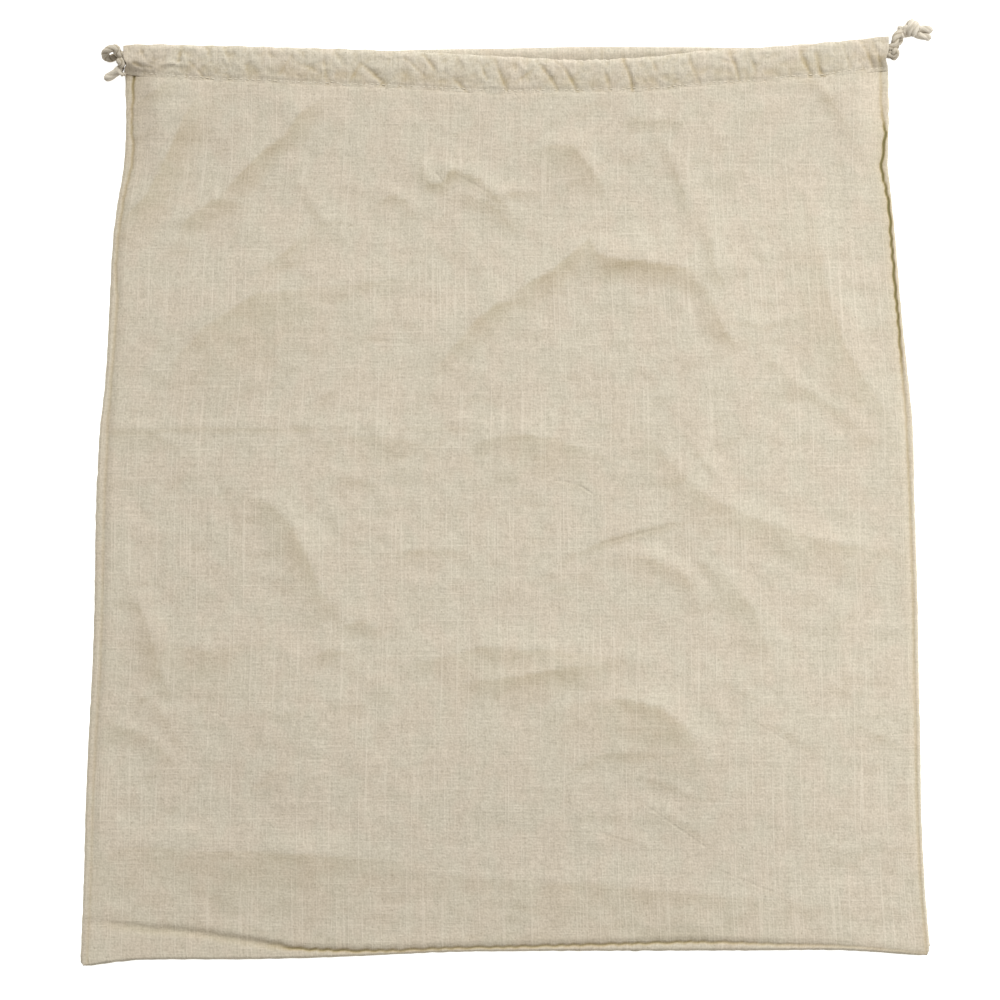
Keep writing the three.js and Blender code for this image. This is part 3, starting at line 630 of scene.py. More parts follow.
def shader_group(name, inputs, outputs, build):
    """A shader node group with named sockets, built once."""
    if name in bpy.data.node_groups:
        return bpy.data.node_groups[name]
    group = bpy.data.node_groups.new(name, "ShaderNodeTree")
    for socket, (kind, default) in inputs.items():
        made = group.interface.new_socket(socket, in_out="INPUT", socket_type=kind)
        if default is not None:
            made.default_value = default
    for socket, kind in outputs.items():
        group.interface.new_socket(socket, in_out="OUTPUT", socket_type=kind)
    tree = Tree(group)
    source = tree.node("NodeGroupInput")
    results = build(tree, source.outputs)
    sink = tree.node("NodeGroupOutput")
    for socket, value in results.items():
        tree.set(sink.inputs[socket], value)
    return group


def slub_weave_group():
    """Uneven threads both ways, slubs, broad tints and specks of husk, on a flat cut in metres."""

    def build(tree, given):
        place = given["Place"]

        def both_ways(across, along, detail, shift):
            warp = tree.stretched_noise(place, across, along, detail, shift)
            weft = tree.stretched_noise(place, along, across, detail, shift + 7.3)
            return tree.math("MULTIPLY", tree.math("ADD", warp, weft), 0.5)

        threads = both_ways(across=0.00125, along=0.0056, detail=1.0, shift=1.1)
        grain = tree.stretched_noise(place, 0.0012, 0.0013, detail=0.0, shift=51.3)
        bands = both_ways(across=0.0023, along=0.07, detail=1.0, shift=3.1)
        value = 0.5
        for part, weight in ((threads, 0.98), (grain, 0.56), (bands, 0.50)):
            value = tree.math("MULTIPLY_ADD", tree.math("SUBTRACT", part, 0.5), weight, value)
        slub_warp = tree.stretched_noise(place, 0.0014, 0.075, detail=0.0, shift=17.9)
        slub_weft = tree.stretched_noise(place, 0.04, 0.0015, detail=0.0, shift=23.3)
        faint_weft = tree.math("MULTIPLY", tree.ranged(slub_weft, 0.71, 0.86), 0.6)
        slubs = tree.math("MAXIMUM", tree.ranged(slub_warp, 0.66, 0.82), faint_weft)
        cells = tree.node(
            "ShaderNodeTexVoronoi",
            {"Vector": place, "Scale": 150.0, "Randomness": 1.0},
            voronoi_dimensions="2D",
        )
        lot = tree.node("ShaderNodeSeparateColor", {"Color": cells.outputs["Color"]}).outputs["Red"]
        near = tree.ranged(cells.outputs["Distance"], 0.03, 0.085, 1.0, 0.0)
        return {
            "Value": value,
            "Slubs": slubs,
            "Tint": tree.stretched_noise(place, 0.021, 0.025, shift=31.1),
            "Mottle": tree.stretched_noise(place, 0.0075, 0.0085, shift=41.7),
            "Specks": tree.math("MULTIPLY", tree.math("GREATER_THAN", lot, 0.74), near),
            "Height": tree.math("MULTIPLY_ADD", slubs, 0.5, value),
        }

    outputs = ("Value", "Slubs", "Tint", "Mottle", "Specks", "Height")
    return shader_group(
        "Slub Weave",
        {"Place": ("NodeSocketVector", None)},
        {name: "NodeSocketFloat" for name in outputs},
        build,
    )


def crease_group():
    """The depth of one pressed crease, from 0 beside it to 1 along its line."""

    def build(tree, given):
        run = tree.vector("SUBTRACT", given["To"], given["From"])
        offset = tree.vector("SUBTRACT", given["Place"], given["From"])
        share = tree.math(
            "DIVIDE",
            tree.vector("DOT_PRODUCT", offset, run),
            tree.vector("DOT_PRODUCT", run, run),
            clamp=True,
        )
        scaled = tree.node("ShaderNodeVectorMath", {0: run, "Scale": share}, operation="SCALE")
        away = tree.vector("LENGTH", tree.vector("SUBTRACT", offset, scaled.outputs["Vector"]))
        fade = tree.math("MULTIPLY", tree.math("MULTIPLY", share, tree.math("SUBTRACT", 1.0, share)), 4.0)
        line = tree.ranged(tree.math("DIVIDE", away, given["Width"]), 0.0, 1.0, 1.0, 0.0)
        return {"Depth": tree.math("MULTIPLY", line, tree.math("POWER", fade, 0.6))}

    return shader_group(
        "Pressed Crease",
        {
            "Place": ("NodeSocketVector", None),
            "From": ("NodeSocketVector", (0, 0, 0)),
            "To": ("NodeSocketVector", (0, 0, 0)),
            "Width": ("NodeSocketFloat", 0.001),
        },
        {"Depth": "NodeSocketFloat"},
        build,
    )


def new_material(name):
    material = bpy.data.materials.new(name)
    material.use_nodes = True
    material.node_tree.nodes.clear()
    tree = Tree(material.node_tree)
    shader = tree.node("ShaderNodeBsdfPrincipled")
    output = tree.node("ShaderNodeOutputMaterial")
    tree.set(output.inputs["Surface"], shader.outputs["BSDF"])
    shader.location = (4200, 0)
    output.location = (4500, 0)
    return material, tree, shader


def tinted(colour, factors):
    return tuple(min(part * factor, 1.0) for part, factor in zip(colour, factors)) + (1.0,)


def finish_cotton(tree, shader, colour, roughness, height, strength=1.0):
    """Gives a cotton's shader its colour, its dull surface and its relief."""
    bump = tree.node("ShaderNodeBump", {"Height": height, "Distance": 1.0, "Strength": strength})
    tree.set(shader.inputs["Base Color"], colour)
    tree.set(shader.inputs["Normal"], bump.outputs["Normal"])
    tree.set(shader.inputs["Roughness"], roughness)
    shader.inputs["Specular IOR Level"].default_value = 0.25


# Broad tints of the cloth, its mottling and specks, and what its colour is multiplied by under painted shade,
# which beside the seams also gives their own tan, and under deep painted shade
PINK = (1.0, 0.983, 0.970, 1.0)
GREEN = (0.982, 0.998, 0.986, 1.0)
MOTTLE = (0.965, 0.963, 0.955, 1.0)
HUSK = (0.17, 0.13, 0.08, 1.0)
PAINTED_SHADE_AND_SEAM_TAN = (0.62, 0.50, 0.22)
DEEP_PAINTED_SHADE = (0.33, 0.32, 0.17)
WEAVE_HEIGHT = 0.00018


def cloth_material(name, colour, creases=()):
    """Unbleached slub cotton: its weave on the cloth's own cut, with thin pressed creases.

    The Shade attribute puts painted shade on it, tan and deepening to olive, in the seams' grooves, in the
    gathers and beside the folds, and the seams' own tan beside the grooves."""
    material, tree, shader = new_material(name)
    place = tree.node("ShaderNodeUVMap", uv_map="Cloth").outputs["UV"]
    weave = tree.node("ShaderNodeGroup", {"Place": place}, node_tree=slub_weave_group()).outputs
    dark, light = tinted(colour, (0.78, 0.775, 0.76)), tinted(colour, (1.21, 1.215, 1.23))
    base = tree.mix(weave["Value"], dark, light)
    tint = tree.mix(tree.ranged(weave["Tint"], 0.34, 0.66), PINK, GREEN)
    base = tree.mix(1.0, base, tint, "MULTIPLY")
    mottle = tree.mix(tree.ranged(weave["Mottle"], 0.3, 0.7), MOTTLE, (1, 1, 1, 1))
    base = tree.mix(1.0, base, mottle, "MULTIPLY")
    base = tree.mix(tree.math("MULTIPLY", weave["Slubs"], 0.36), base, light)
    base = tree.mix(tree.math("MULTIPLY", weave["Specks"], 0.30), base, HUSK)
    height = tree.math("MULTIPLY", weave["Height"], WEAVE_HEIGHT)
    for crease in creases:
        ends = {
            "Place": place,
            "From": photo_place(crease.x1, crease.y1) + (0.0,),
            "To": photo_place(crease.x2, crease.y2) + (0.0,),
            "Width": crease.width * MM,
        }
        line = tree.node("ShaderNodeGroup", ends, node_tree=crease_group())
        height = tree.math("MULTIPLY_ADD", line.outputs["Depth"], -crease.depth * MM, height)
    # Painted shade from the Shade attribute: tan, and olive where it is deepest; beside the seams' grooves it
    # also stands for the seams' own tan
    shade = tree.attribute("Shade")
    base = tree.mix(shade, base, tinted(colour, PAINTED_SHADE_AND_SEAM_TAN))
    base = tree.mix(tree.ranged(shade, 0.42, 1.0), base, tinted(colour, DEEP_PAINTED_SHADE))
    finish_cotton(tree, shader, base, tree.ranged(weave["Value"], 0.2, 0.8, 0.88, 0.97), height, 0.8)
    return material


# Fibres of a cord, for each metre along and around a strand, and their height
FIBRE_SCALE = (160.0, 2600.0, 2600.0)
FIBRE_HEIGHT = 0.00016


def cord_material(name, colour, painted_strand_shade):
    """Twisted cotton: fibres that run with the strands, and a share of painted shade in the grooves between.
    """
    material, tree, shader = new_material(name)
    fibres = tree.noise(tree.vector("MULTIPLY", tree.attribute("Lay", "Vector"), FIBRE_SCALE), 1.0, 2.0)
    mottle = tree.noise(tree.node("ShaderNodeTexCoord").outputs["Object"], 240.0, 2.0)
    dark, light = tinted(colour, (0.74, 0.73, 0.70)), tinted(colour, (1.12, 1.12, 1.12))
    base = tree.mix(tree.ranged(fibres, 0.3, 0.7), dark, light)
    base = tree.mix(0.4, base, tree.mix(tree.ranged(mottle, 0.35, 0.65), dark, light))
    # Painted shade in the grooves between the strands
    groove = tree.ranged(tree.attribute("Strand"), 0.0, 0.62, painted_strand_shade, 0.0)
    base = tree.mix(groove, base, tinted(colour, (0.42, 0.37, 0.28)))
    height = tree.math("MULTIPLY", fibres, FIBRE_HEIGHT)
    finish_cotton(tree, shader, base, tree.ranged(fibres, 0.2, 0.8, 0.84, 0.95), height)
    return material


def thread_material(name, colour):
    """Sewing thread, a little smoother than the cloth."""
    material, tree, shader = new_material(name)
    ply = tree.noise(tree.node("ShaderNodeTexCoord").outputs["Object"], 1800.0, 1.0)
    dark, light = tinted(colour, (0.85, 0.85, 0.85)), tinted(colour, (1.06, 1.06, 1.06))
    tree.set(shader.inputs["Base Color"], tree.mix(ply, dark, light))
    tree.set(shader.inputs["Roughness"], tree.ranged(ply, 0.2, 0.8, 0.6, 0.75))
    return material


# Sizes and colours that a user would change


def colour_setting(name, description, default):
    return bpy.props.FloatVectorProperty(
        name=name, description=description, subtype="COLOR", size=3, min=0.0, max=1.0, default=default
    )


def length_setting(name, description, least, default):
    return bpy.props.FloatProperty(
        name=name, description=description, unit="LENGTH", min=least, default=default
    )


class BagClothSettings(bpy.types.PropertyGroup):
    colour: colour_setting("Cloth", "Colour of the unbleached cotton", (0.55, 0.490, 0.400))
    seam_colour: colour_setting("Seams", "Colour of the rolled seams", (0.60, 0.55, 0.45))
    cell: length_setting("Cell", "Size of the front cloth's mesh cells", 0.001, 0.00205)
    crumple: length_setting("Crumple", "Height of the random creasing between the folds", 0.0, 0.00018)
    loft: length_setting("Loft", "How far the front cloth stands above its seams", 0.002, 0.0095)


class BagCordSettings(bpy.types.PropertyGroup):
    colour: colour_setting("Cord", "Colour of the drawstrings", (0.53, 0.475, 0.39))
    knot_colour: colour_setting("Knots", "Colour of the knots and their tails", (0.62, 0.565, 0.48))
    stitch_length: length_setting("Stitch", "Length of one stitch of the casings", 0.0005, 0.0026)
    stitch_gap: length_setting("Stitch spacing", "From one stitch to the next", 0.001, 0.0034)
    thread: length_setting("Thread", "Thickness of the sewing thread", 0.0001, 0.0005)


class BagStageSettings(bpy.types.PropertyGroup):
    floor_size: length_setting("Floor", "Width of the pale floor", 1.0, 8.0)
    camera_height: length_setting("Camera height", "How far above the floor the camera is", 0.5, 3.2)
    floor_glow: bpy.props.FloatProperty(
        name="Floor glow", description="Light that the floor gives off, so that it stays pale in shadow",
        min=0.0, default=0.8,
    )
    view_width: length_setting("View width", "Width of the picture at the bag", 0.1, 0.6)


# The stage


# Where the main light stands, seen from the bag's middle
KEY_DIRECTION = Vector((0.07, 0.751, 0.655))
KEY_DISTANCE = 6.0


def area_light(name, energy, size, place):
    data = bpy.data.lights.new(name, "AREA")
    data.energy = energy
    data.color = (0.985, 1.0, 1.0)
    data.size = size
    light = bpy.data.objects.new(name, data)
    light.location = place
    light.rotation_euler = (-Vector(place)).to_track_quat("-Z", "Y").to_euler()
    bpy.context.scene.collection.objects.link(light)


class BAG_OT_stage(bpy.types.Operator):
    """Adds the pale floor, the soft light and the camera that looks straight down"""

    bl_idname = "bag.stage"
    bl_label = "Stage"

    def execute(self, context):
        settings = context.scene.bag_stage
        half = settings.floor_size / 2
        corners = [(-half, -half, 0), (half, -half, 0), (half, half, 0), (-half, half, 0)]
        floor = mesh_object("floor", corners, [(0, 1, 2, 3)])
        floor.location.z = -0.0002
        material, tree, shader = new_material("Pale floor")
        shader.inputs["Base Color"].default_value = (0.60, 0.60, 0.60, 1.0)
        shader.inputs["Roughness"].default_value = 0.9
        shader.inputs["Emission Color"].default_value = (1.0, 1.0, 1.0, 1.0)
        shader.inputs["Emission Strength"].default_value = settings.floor_glow
        floor.data.materials.append(material)

        world = bpy.data.worlds.new("Soft light")
        world.use_nodes = True
        world.node_tree.nodes["Background"].inputs["Color"].default_value = (1.0, 0.975, 0.93, 1.0)
        world.node_tree.nodes["Background"].inputs["Strength"].default_value = 0.45
        context.scene.world = world
        area_light("key light", energy=320, size=1.95, place=KEY_DIRECTION * KEY_DISTANCE)
        area_light("side light", energy=8.0, size=0.7, place=(1.25, 0.0, 0.7))

        camera = bpy.data.cameras.new("camera")
        camera.sensor_width = 36
        camera.lens = camera.sensor_width * settings.camera_height / settings.view_width
        holder = bpy.data.objects.new("camera", camera)
        x, y = photo_place(500, 500)
        holder.location = (x, y, settings.camera_height)
        context.scene.collection.objects.link(holder)
        context.scene.camera = holder
        context.scene.view_settings.view_transform = "Standard"
        return {"FINISHED"}


# The drawstrings


# How much lower each casing and the cords in it are at the ends than in the frame, and over what length
END_DROP = {"front": 0.0020, "back": 0.0}
END_LENGTH = 0.030
# The points of a cord inside one casing, and the share of the spare depth that lies below the cords
CASING_STATIONS = 16
ROOM_BELOW = 0.55


def end_drop(side, x):
    """How much lower a casing is than in the frame: most at both its ends."""
    return END_DROP[side] * (1 - smooth(MOUTH_END - np.abs(x), 0.0, END_LENGTH))


def casing_point(side, x, lane):
    """The centre of a cord inside a casing, as in the frame but a little lower at the ends."""
    stitch = at(STITCH[side], x)
    depth = at(TOP[side], x) - stitch
    y = stitch + (depth - CORD_ROOM) * ROOM_BELOW + CORD_ROOM / 2 + lane * CORD_LANE / 2
    return x, y, at(TIP[side], x) - end_drop(side, x)


def free_points(side, places):
    """Points given in millimetres past a casing's end, from the mouth line and up."""
    return [(side * (MOUTH_END + out * MM), MOUTH_LINE + y * MM, z * MM) for out, y, z in places]


def drawstring_points(cord):
    """The whole route of a drawstring: through the front casing, round the bend, and back."""
    run = np.linspace(1, -1, CASING_STATIONS) * MOUTH_END * cord.side
    front = [casing_point("front", x, cord.lane) for x in run]
    back = [casing_point("back", x, cord.lane) for x in run[::-1]]
    leave, bend = free_points(cord.side, cord.leave), free_points(-cord.side, cord.bend)
    return leave + front + bend + back + free_points(cord.side, cord.back)


POINTS_PER_TURN = 18


def wrap(centre, axis, turns, length, flat, high, start):
    """Turns of cord around an axis in the surface's plane, in millimetres past the casing's end."""
    run = np.linspace(0, 1, int(POINTS_PER_TURN * turns) + 1)
    angle = start + 2 * math.pi * turns * run
    along = (run - 0.5) * length
    ahead, across = math.cos(math.radians(axis)), math.sin(math.radians(axis))
    swing = np.cos(angle) * flat
    return [
        (centre[0] + a * ahead - s * across, centre[1] + a * across + s * ahead, centre[2] + h)
        for a, s, h in zip(along, swing, np.sin(angle) * high)
    ]


# The parts of each knot: points of the cord's core, and its diameter in millimetres
KNOT = {
    "right": (
        (((8.2, 3.6, 5.4), (11.0, 4.4, 5.0), (14.4, 4.4, 4.4), (18.2, 4.6, 3.0), (22.4, 4.3, 2.5),
          (27.0, 3.7, 2.4)), 4.8),
        (((8.2, 0.4, 2.4), (11.0, 1.6, 3.0), (14.0, 2.4, 3.4), (17.6, 1.0, 2.6), (21.6, 0.1, 2.4),
          (26.0, -1.0, 2.4)), 4.7),
        (wrap((13.6, 4.6, 5.2), -24, 2.1, 5.4, 3.2, 2.6, 2.4), 4.9),
        (wrap((7.6, 2.4, 4.2), 32, 1.1, 2.6, 2.3, 2.5, 0.8), 3.4),
    ),
    "left": (
        (((1.4, -19.0, 6.4), (4.2, -21.2, 4.8), (7.8, -23.6, 3.3), (12.0, -25.6, 2.8)), 5.2),
        (((0.8, -16.6, 2.8), (3.2, -20.6, 2.8), (7.0, -23.6, 2.6), (11.0, -25.6, 2.5)), 4.6),
        (wrap((2.2, -21.6, 3.9), 126, 1.1, 1.4, 3.1, 3.0, 0.4), 1.9),
    ),
}
CASING_GIRTH = 2.5 * MM
LOOP_GIRTH = 4.9 * MM
# From one point of a cord's path to the next
PATH_STEP = 0.002


def cord_girth(point):
    """Cords are squeezed inside a casing and full outside it."""
    past = abs(point[0]) - MOUTH_END
    return CASING_GIRTH + (LOOP_GIRTH - CASING_GIRTH) * float(smooth(past, -0.004, 0.002))


class BAG_OT_drawstrings(bpy.types.Operator):
    """Adds the two drawstrings with their knots and tails"""

    bl_idname = "bag.drawstrings"
    bl_label = "Drawstrings"

    def execute(self, context):
        settings = context.scene.bag_cord
        # The last number is the share of painted shade in the grooves between the strands
        material = cord_material("Twisted cotton cord", tuple(settings.colour), 0.7)
        pale = cord_material("Pale twisted cord", tuple(settings.knot_colour), 0.35)
        for name, cord in DRAWSTRINGS.items():
            points = drawstring_points(cord)
            path, length = spline(points, PATH_STEP)
            rope = rope_object(f"{name}_cord", [Rope(points, cord_girth)])
            finish_piece(rope, material, "cord", f"{name}_drawstring")
            ropes = [Rope(free_points(cord.side, places), girth * MM) for places, girth in KNOT[name]]
            knot = rope_object(f"{name}_cord_knot", ropes, lay=0.021)
            finish_piece(knot, pale, "cord", f"{name}_knot")
        return {"FINISHED"}


# The panels


# The lengths of the waves in which a groove swings along its edge
SHORT_SWING = 0.0098
LONG_SWING = 0.037


class GrooveLine:
    """A seam's groove along its edge, with its inset, depth and darkness at any place."""

    def __init__(self, rows, upright):
        along, insets, depths, self.darks = np.array(rows[::-1] if upright else rows).T
        x, y = photo_place(along, along)
        self.places = y if upright else x
        self.insets = insets * PIXEL
        self.depths = depths * MM

    def inset(self, places):
        turn = places * 2 * math.pi
        swing = np.sin(turn / SHORT_SWING + 1.4 * np.sin(turn / LONG_SWING))
        return np.interp(places, self.places, self.insets) + 0.4 * self.depth(places) * swing

    def softness(self, places):
        """0 where the groove is a line close to the edge and 1 where it is a soft dip further in."""
        return smooth(self.inset(places), 0.0055, 0.0100)

    def depth(self, places):
        return np.interp(places, self.places, self.depths)

    def dark(self, places):
        return np.interp(places, self.places, self.darks)


GROOVE = {
    "left": GrooveLine(LEFT_GROOVE, True),
    "right": GrooveLine(RIGHT_GROOVE, True),
    "bottom": GrooveLine(BOTTOM_GROOVE, False),
}
CORNER = 0.008
CLOTH_EDGE = 0.0005
PANEL_LIFT = 0.0031
CASING_LIFT = 0.0038
LAP = 0.0012
# The share of the loft that the cloth gains right beside a seam
AT_ONCE = 0.11
# The facets of the crumpled cloth: seed, size, turn in degrees, and height in shares of the crumple
FACETS = ((31, 0.026, 27, 1.3), (37, 0.013, 61, 0.6))
# The step over which slopes are read, the steepest slope that counts, and the most painted shade that folds
# get
SLOPE_STEP = 0.0010
STEEPEST = 0.4
MOST_FOLD_SHADE = 0.34
# The share of their charted rise that the casing's gathers have where they run on into the cloth
GATHERS_BELOW = 0.8
# The small puckers under the stitches: from one to the next, and their height
PUCKER_LENGTH = 0.0068
PUCKER_HEIGHT = 0.00016


def outline(across, y):
    """The x of both edges at each y; the bottom corners are rounded."""
    low = at(BOTTOM_EDGE, across * HALF_BOTTOM)
    rise = np.clip((low + CORNER - y) / CORNER, 0, 1)
    rounding = CORNER * 0.35 * (1 - np.sqrt(1 - rise**2))
    return at(LEFT_EDGE, y) + rounding, at(RIGHT_EDGE, y) - rounding


def graded(length, cell, fine, depth, both_ends):
    """An odd number of places from 0 to a length, closer together near one end or both."""
    near = list(np.arange(0, depth, fine))
    step = fine
    while step < cell:
        step = min(step * 1.3, cell)
        near.append(near[-1] + step)
    far = length - near[-1] if both_ends else length
    count = int((far - near[-1]) / cell)
    count += (len(near) * (2 if both_ends else 1) + count + (0 if both_ends else 1)) % 2
    middle = np.linspace(near[-1], far, count + 2)[1:-1]
    ends = [length - place for place in reversed(near)] if both_ends else [length]
    places = np.array(near + list(middle) + ends)
    return places if len(places) % 2 else np.delete(places, len(near) + 3)


def panel_grid(side, shares, rows, inset):
    """Places over a panel, from its bottom edge to under its casing, and its flat cut."""
    across = shares[None, :]
    along = rows[:, None]
    low = at(BOTTOM_EDGE, across * CELLS_TO) + inset
    high = at(STITCH[side], across * MOUTH_END) + 0.0006
    y = low + (high - low) * along
    left, right = outline(across, y)
    x = (left + right) / 2 + ((right - left) / 2 - inset) * across
    cut = np.stack([np.broadcast_to(across * HALF_CUT, x.shape), y], -1)
    return x, y, cut


def edge_distances(x, y):
    """Distances from the bag's side edges, its bottom edge and its front stitch line."""
    left = x - at(LEFT_EDGE, y)
    right = at(RIGHT_EDGE, y) - x
    bottom = y - at(BOTTOM_EDGE, x)
    mouth = at(STITCH["front"], x) - y
    return left, right, bottom, mouth


def shoulder(away):
    """How the cloth rises from a seam: at once by some of its height, then slowly by the rest."""
    return AT_ONCE * smooth(away, 0.0, 0.0045) + (1 - AT_ONCE) * smooth(away, -0.02, 0.14)


def lip_height(x, side_in):
    """The height of the front cloth where its casing starts."""
    full = at(TIP["front"], x) + 0.0013 - PANEL_LIFT
    return PANEL_LIFT + full * smooth(side_in, -0.004, 0.017)


def cloth_folds(x, y, crumple_height):
    """The folds, facets and crumples of the front cloth, and the painted shade that the folds put on it."""
    relief, shade = fold_relief(FOLDS, x, y)
    relief *= FOLD_RISE
    for seed, size, turn, share in FACETS:
        relief += crumple_height * share * facets(seed, size, turn)(x, y)
    relief -= 0.6 * crumple_height * np.abs(crumple(4, 0.035, 0.12)(x, y))
    return relief + 0.5 * crumple_height * crumple(12, 0.02, 0.05)(x, y), shade


def front_relief(x, y, loft, crumple_height):
    """The height of the front cloth and how much painted shade, with the seams' own tan, it gets at each
    place.
    """
    left, right, bottom, mouth = edge_distances(x, y)
    left_in = left - GROOVE["left"].inset(y)
    right_in = right - GROOVE["right"].inset(y)
    bottom_in = bottom - GROOVE["bottom"].inset(x)
    side_in = np.minimum(left_in, right_in)
    inner = np.minimum(side_in, bottom_in)
    near_mouth = 1 - smooth(mouth, -0.004, 0.080)
    belly = loft * shoulder(side_in) * shoulder(bottom_in)
    lip = lip_height(x, side_in)
    height = (PANEL_LIFT + belly) * (1 - near_mouth) + lip * near_mouth
    relief, shade = cloth_folds(x, y, crumple_height)
    # Painted shade, in tan, on slopes that face away from the key light
    slope = (cloth_folds(x, y + SLOPE_STEP, crumple_height)[0] - relief) / SLOPE_STEP
    shade += SLOPE_PAINTED_SHADE * np.clip(slope, 0, STEEPEST)
    height += relief * smooth(inner, 0.0, 0.012) * smooth(mouth, -0.001, 0.012)
    puckers = np.sin(x * 2 * math.pi / PUCKER_LENGTH + 4 * crumple(21, 0.006, 0.03)(x, y))
    height += PUCKER_HEIGHT * puckers * np.exp(-np.abs(mouth) / 0.005) * smooth(side_in, 0.0, 0.01)
    height += GATHERS_BELOW * fold_relief(CASING_FOLDS, x, y)[0] * smooth(inner, 0.0, 0.006)
    for away, groove, places in ((left_in, "left", y), (right_in, "right", y), (bottom_in, "bottom", x)):
        width = 0.0008 + 0.0020 * GROOVE[groove].softness(places)
        height -= GROOVE[groove].depth(places) * np.exp(-((away / width) ** 2))
    edge = np.minimum(np.minimum(left, right), bottom)
    height -= 0.0010 * (1 - smooth(edge, 0.0002, 0.0014))
    height -= 0.0006 * (1 - smooth(mouth, LAP - 0.0019, LAP - 0.0010))
    shade = np.clip(shade, 0, MOST_FOLD_SHADE) * smooth(inner, 0.0, 0.004)
    return height, np.clip(shade + groove_shade(x, y), 0, 1)


# Painted shade along a groove's line, and how much less where it is soft
LINE_SHADE = 1.1
LINE_SOFTENING = 0.7
# How dark the cloth is on the band inside a groove, which fades over a width, and on the strip outside it:
# the seam's own tan, with painted shade
BAND_SHADE = 0.36
BAND_WIDTH = 0.0034
STRIP_SHADE = {"left": 0.24, "right": 0.24, "bottom": 0.08}


def groove_shade(x, y):
    """Painted shade in each groove, and the seam's own tan with painted shade beside it and on the strip
    outside it.
    """
    left, right, bottom, mouth = edge_distances(x, y)
    shade = np.zeros_like(x)
    for distance, name, places in ((left, "left", y), (right, "right", y), (bottom, "bottom", x)):
        groove = GROOVE[name]
        away = distance - groove.inset(places)
        dark = groove.dark(places)
        if name == "bottom":
            dark = dark * smooth(left, 0.003, 0.018)
        soft = groove.softness(places)
        width = 0.0012 + 0.0024 * soft
        # The line is painted shade in the groove; the band and the strip are the seam's own tan with painted
        # shade
        line = (LINE_SHADE - LINE_SOFTENING * soft) * dark * np.exp(-((away / width) ** 2))
        band = BAND_SHADE * dark * np.exp(-np.clip(away, 0, 1) / BAND_WIDTH) * (away > 0)
        strip = STRIP_SHADE[name] * dark * (away <= 0)
        shade = np.maximum(shade, np.maximum(line, np.maximum(band, strip)))
    # A little painted shade along the cloth under the edge of the front casing
    return shade + 0.05 * np.exp(-np.clip(mouth, 0, 1) / 0.003)


# The rough size of a panel, by which the front cloth's cells are counted
PANEL_SIZE = (0.50, 0.53)
# The places across and along the plain back cloth, and how far in from the edge it ends, inside the seams
BACK_PLACES = (81, 85)
BACK_INSET = 0.0057


class BAG_OT_panels(bpy.types.Operator):
    """Adds the front cloth with its folds, and the back cloth that lies flat"""

    bl_idname = "bag.panels"
    bl_label = "Panels"

    def execute(self, context):
        settings = context.scene.bag_cloth
        width, height = PANEL_SIZE
        across = graded(width, settings.cell, fine=0.00055, depth=0.0075, both_ends=True)
        shares = across / (width / 2) - 1
        rows = graded(height, settings.cell, fine=0.0007, depth=0.026, both_ends=False) / height
        x, y, cut = panel_grid("front", shares, rows, CLOTH_EDGE)
        z, shade = front_relief(x, y, settings.loft, settings.crumple)
        front = cloth_object("front_cloth", np.stack([x, y, z], -1), cut, CLOTH_THICKNESS * 0.9)
        point_values(front, "Shade", np.concatenate([shade.ravel(), shade[::2, ::2].ravel()]))
        material = cloth_material("Slub cotton", tuple(settings.colour), CREASES)
        finish_piece(front, material, "cloth", "front_panel")

        columns, rows = BACK_PLACES
        x, y, cut = panel_grid("back", np.linspace(-1, 1, columns), np.linspace(0, 1, rows), BACK_INSET)
        z = np.full_like(x, CLOTH_THICKNESS) + 0.0001 * crumple(33, 0.01, 0.04)(x, y)
        back = cloth_object("back_cloth", np.stack([x, y, z], -1), cut, CLOTH_THICKNESS * 0.95)
        settle_on_floor(back)
        finish_piece(back, material, "cloth", "back_panel")
        return {"FINISHED"}


def settle_on_floor(obj):
    """No vertex of a piece that lies on the surface reaches below it."""
    for vertex in obj.data.vertices:
        vertex.co.z = max(vertex.co.z, 0.0)


# The seams


SEAM_BEAD = 0.0010
# The length of a seam's mesh cells, and how far its edge wanders
SEAM_STEP = 0.0016
SEAM_WANDER = 0.0001


def seam_section():
    """A rolled edge seam's section, inward from the edge and up: a bead, then plies under the cloth."""
    angles = np.radians(np.linspace(-90, -292, 12))
    points = [(SEAM_BEAD * (1 + math.cos(a)), SEAM_BEAD * (1 + math.sin(a))) for a in angles]
    return points + [(0.0030, 0.0019), (SEAM_WIDTH * 0.9, 0.0017), (SEAM_WIDTH, 0.0011), (SEAM_WIDTH, 0.0001)]


def seam_object(name, path, inward):
    """A seam along a path of (x, y) pairs, turned inward by one direction."""
    section = seam_section()
    points, uv = [], []
    run = 0.0
    for k, (x, y) in enumerate(path):
        if k:
            run += math.hypot(x - path[k - 1][0], y - path[k - 1][1])
        for across, up in section:
            points.append((x + inward[0] * across, y + inward[1] * across, up))
            uv.append((across, run))
    seam = mesh_object(name, points, capped_tube_faces(len(path), len(section)), np.array(uv))
    recalculate_outside(seam)
    return seam


def recalculate_outside(obj):
    """Turns all faces of a piece outwards."""
    shape = bmesh.new()
    shape.from_mesh(obj.data)
    bmesh.ops.recalc_face_normals(shape, faces=shape.faces)
    shape.to_mesh(obj.data)
    shape.free()


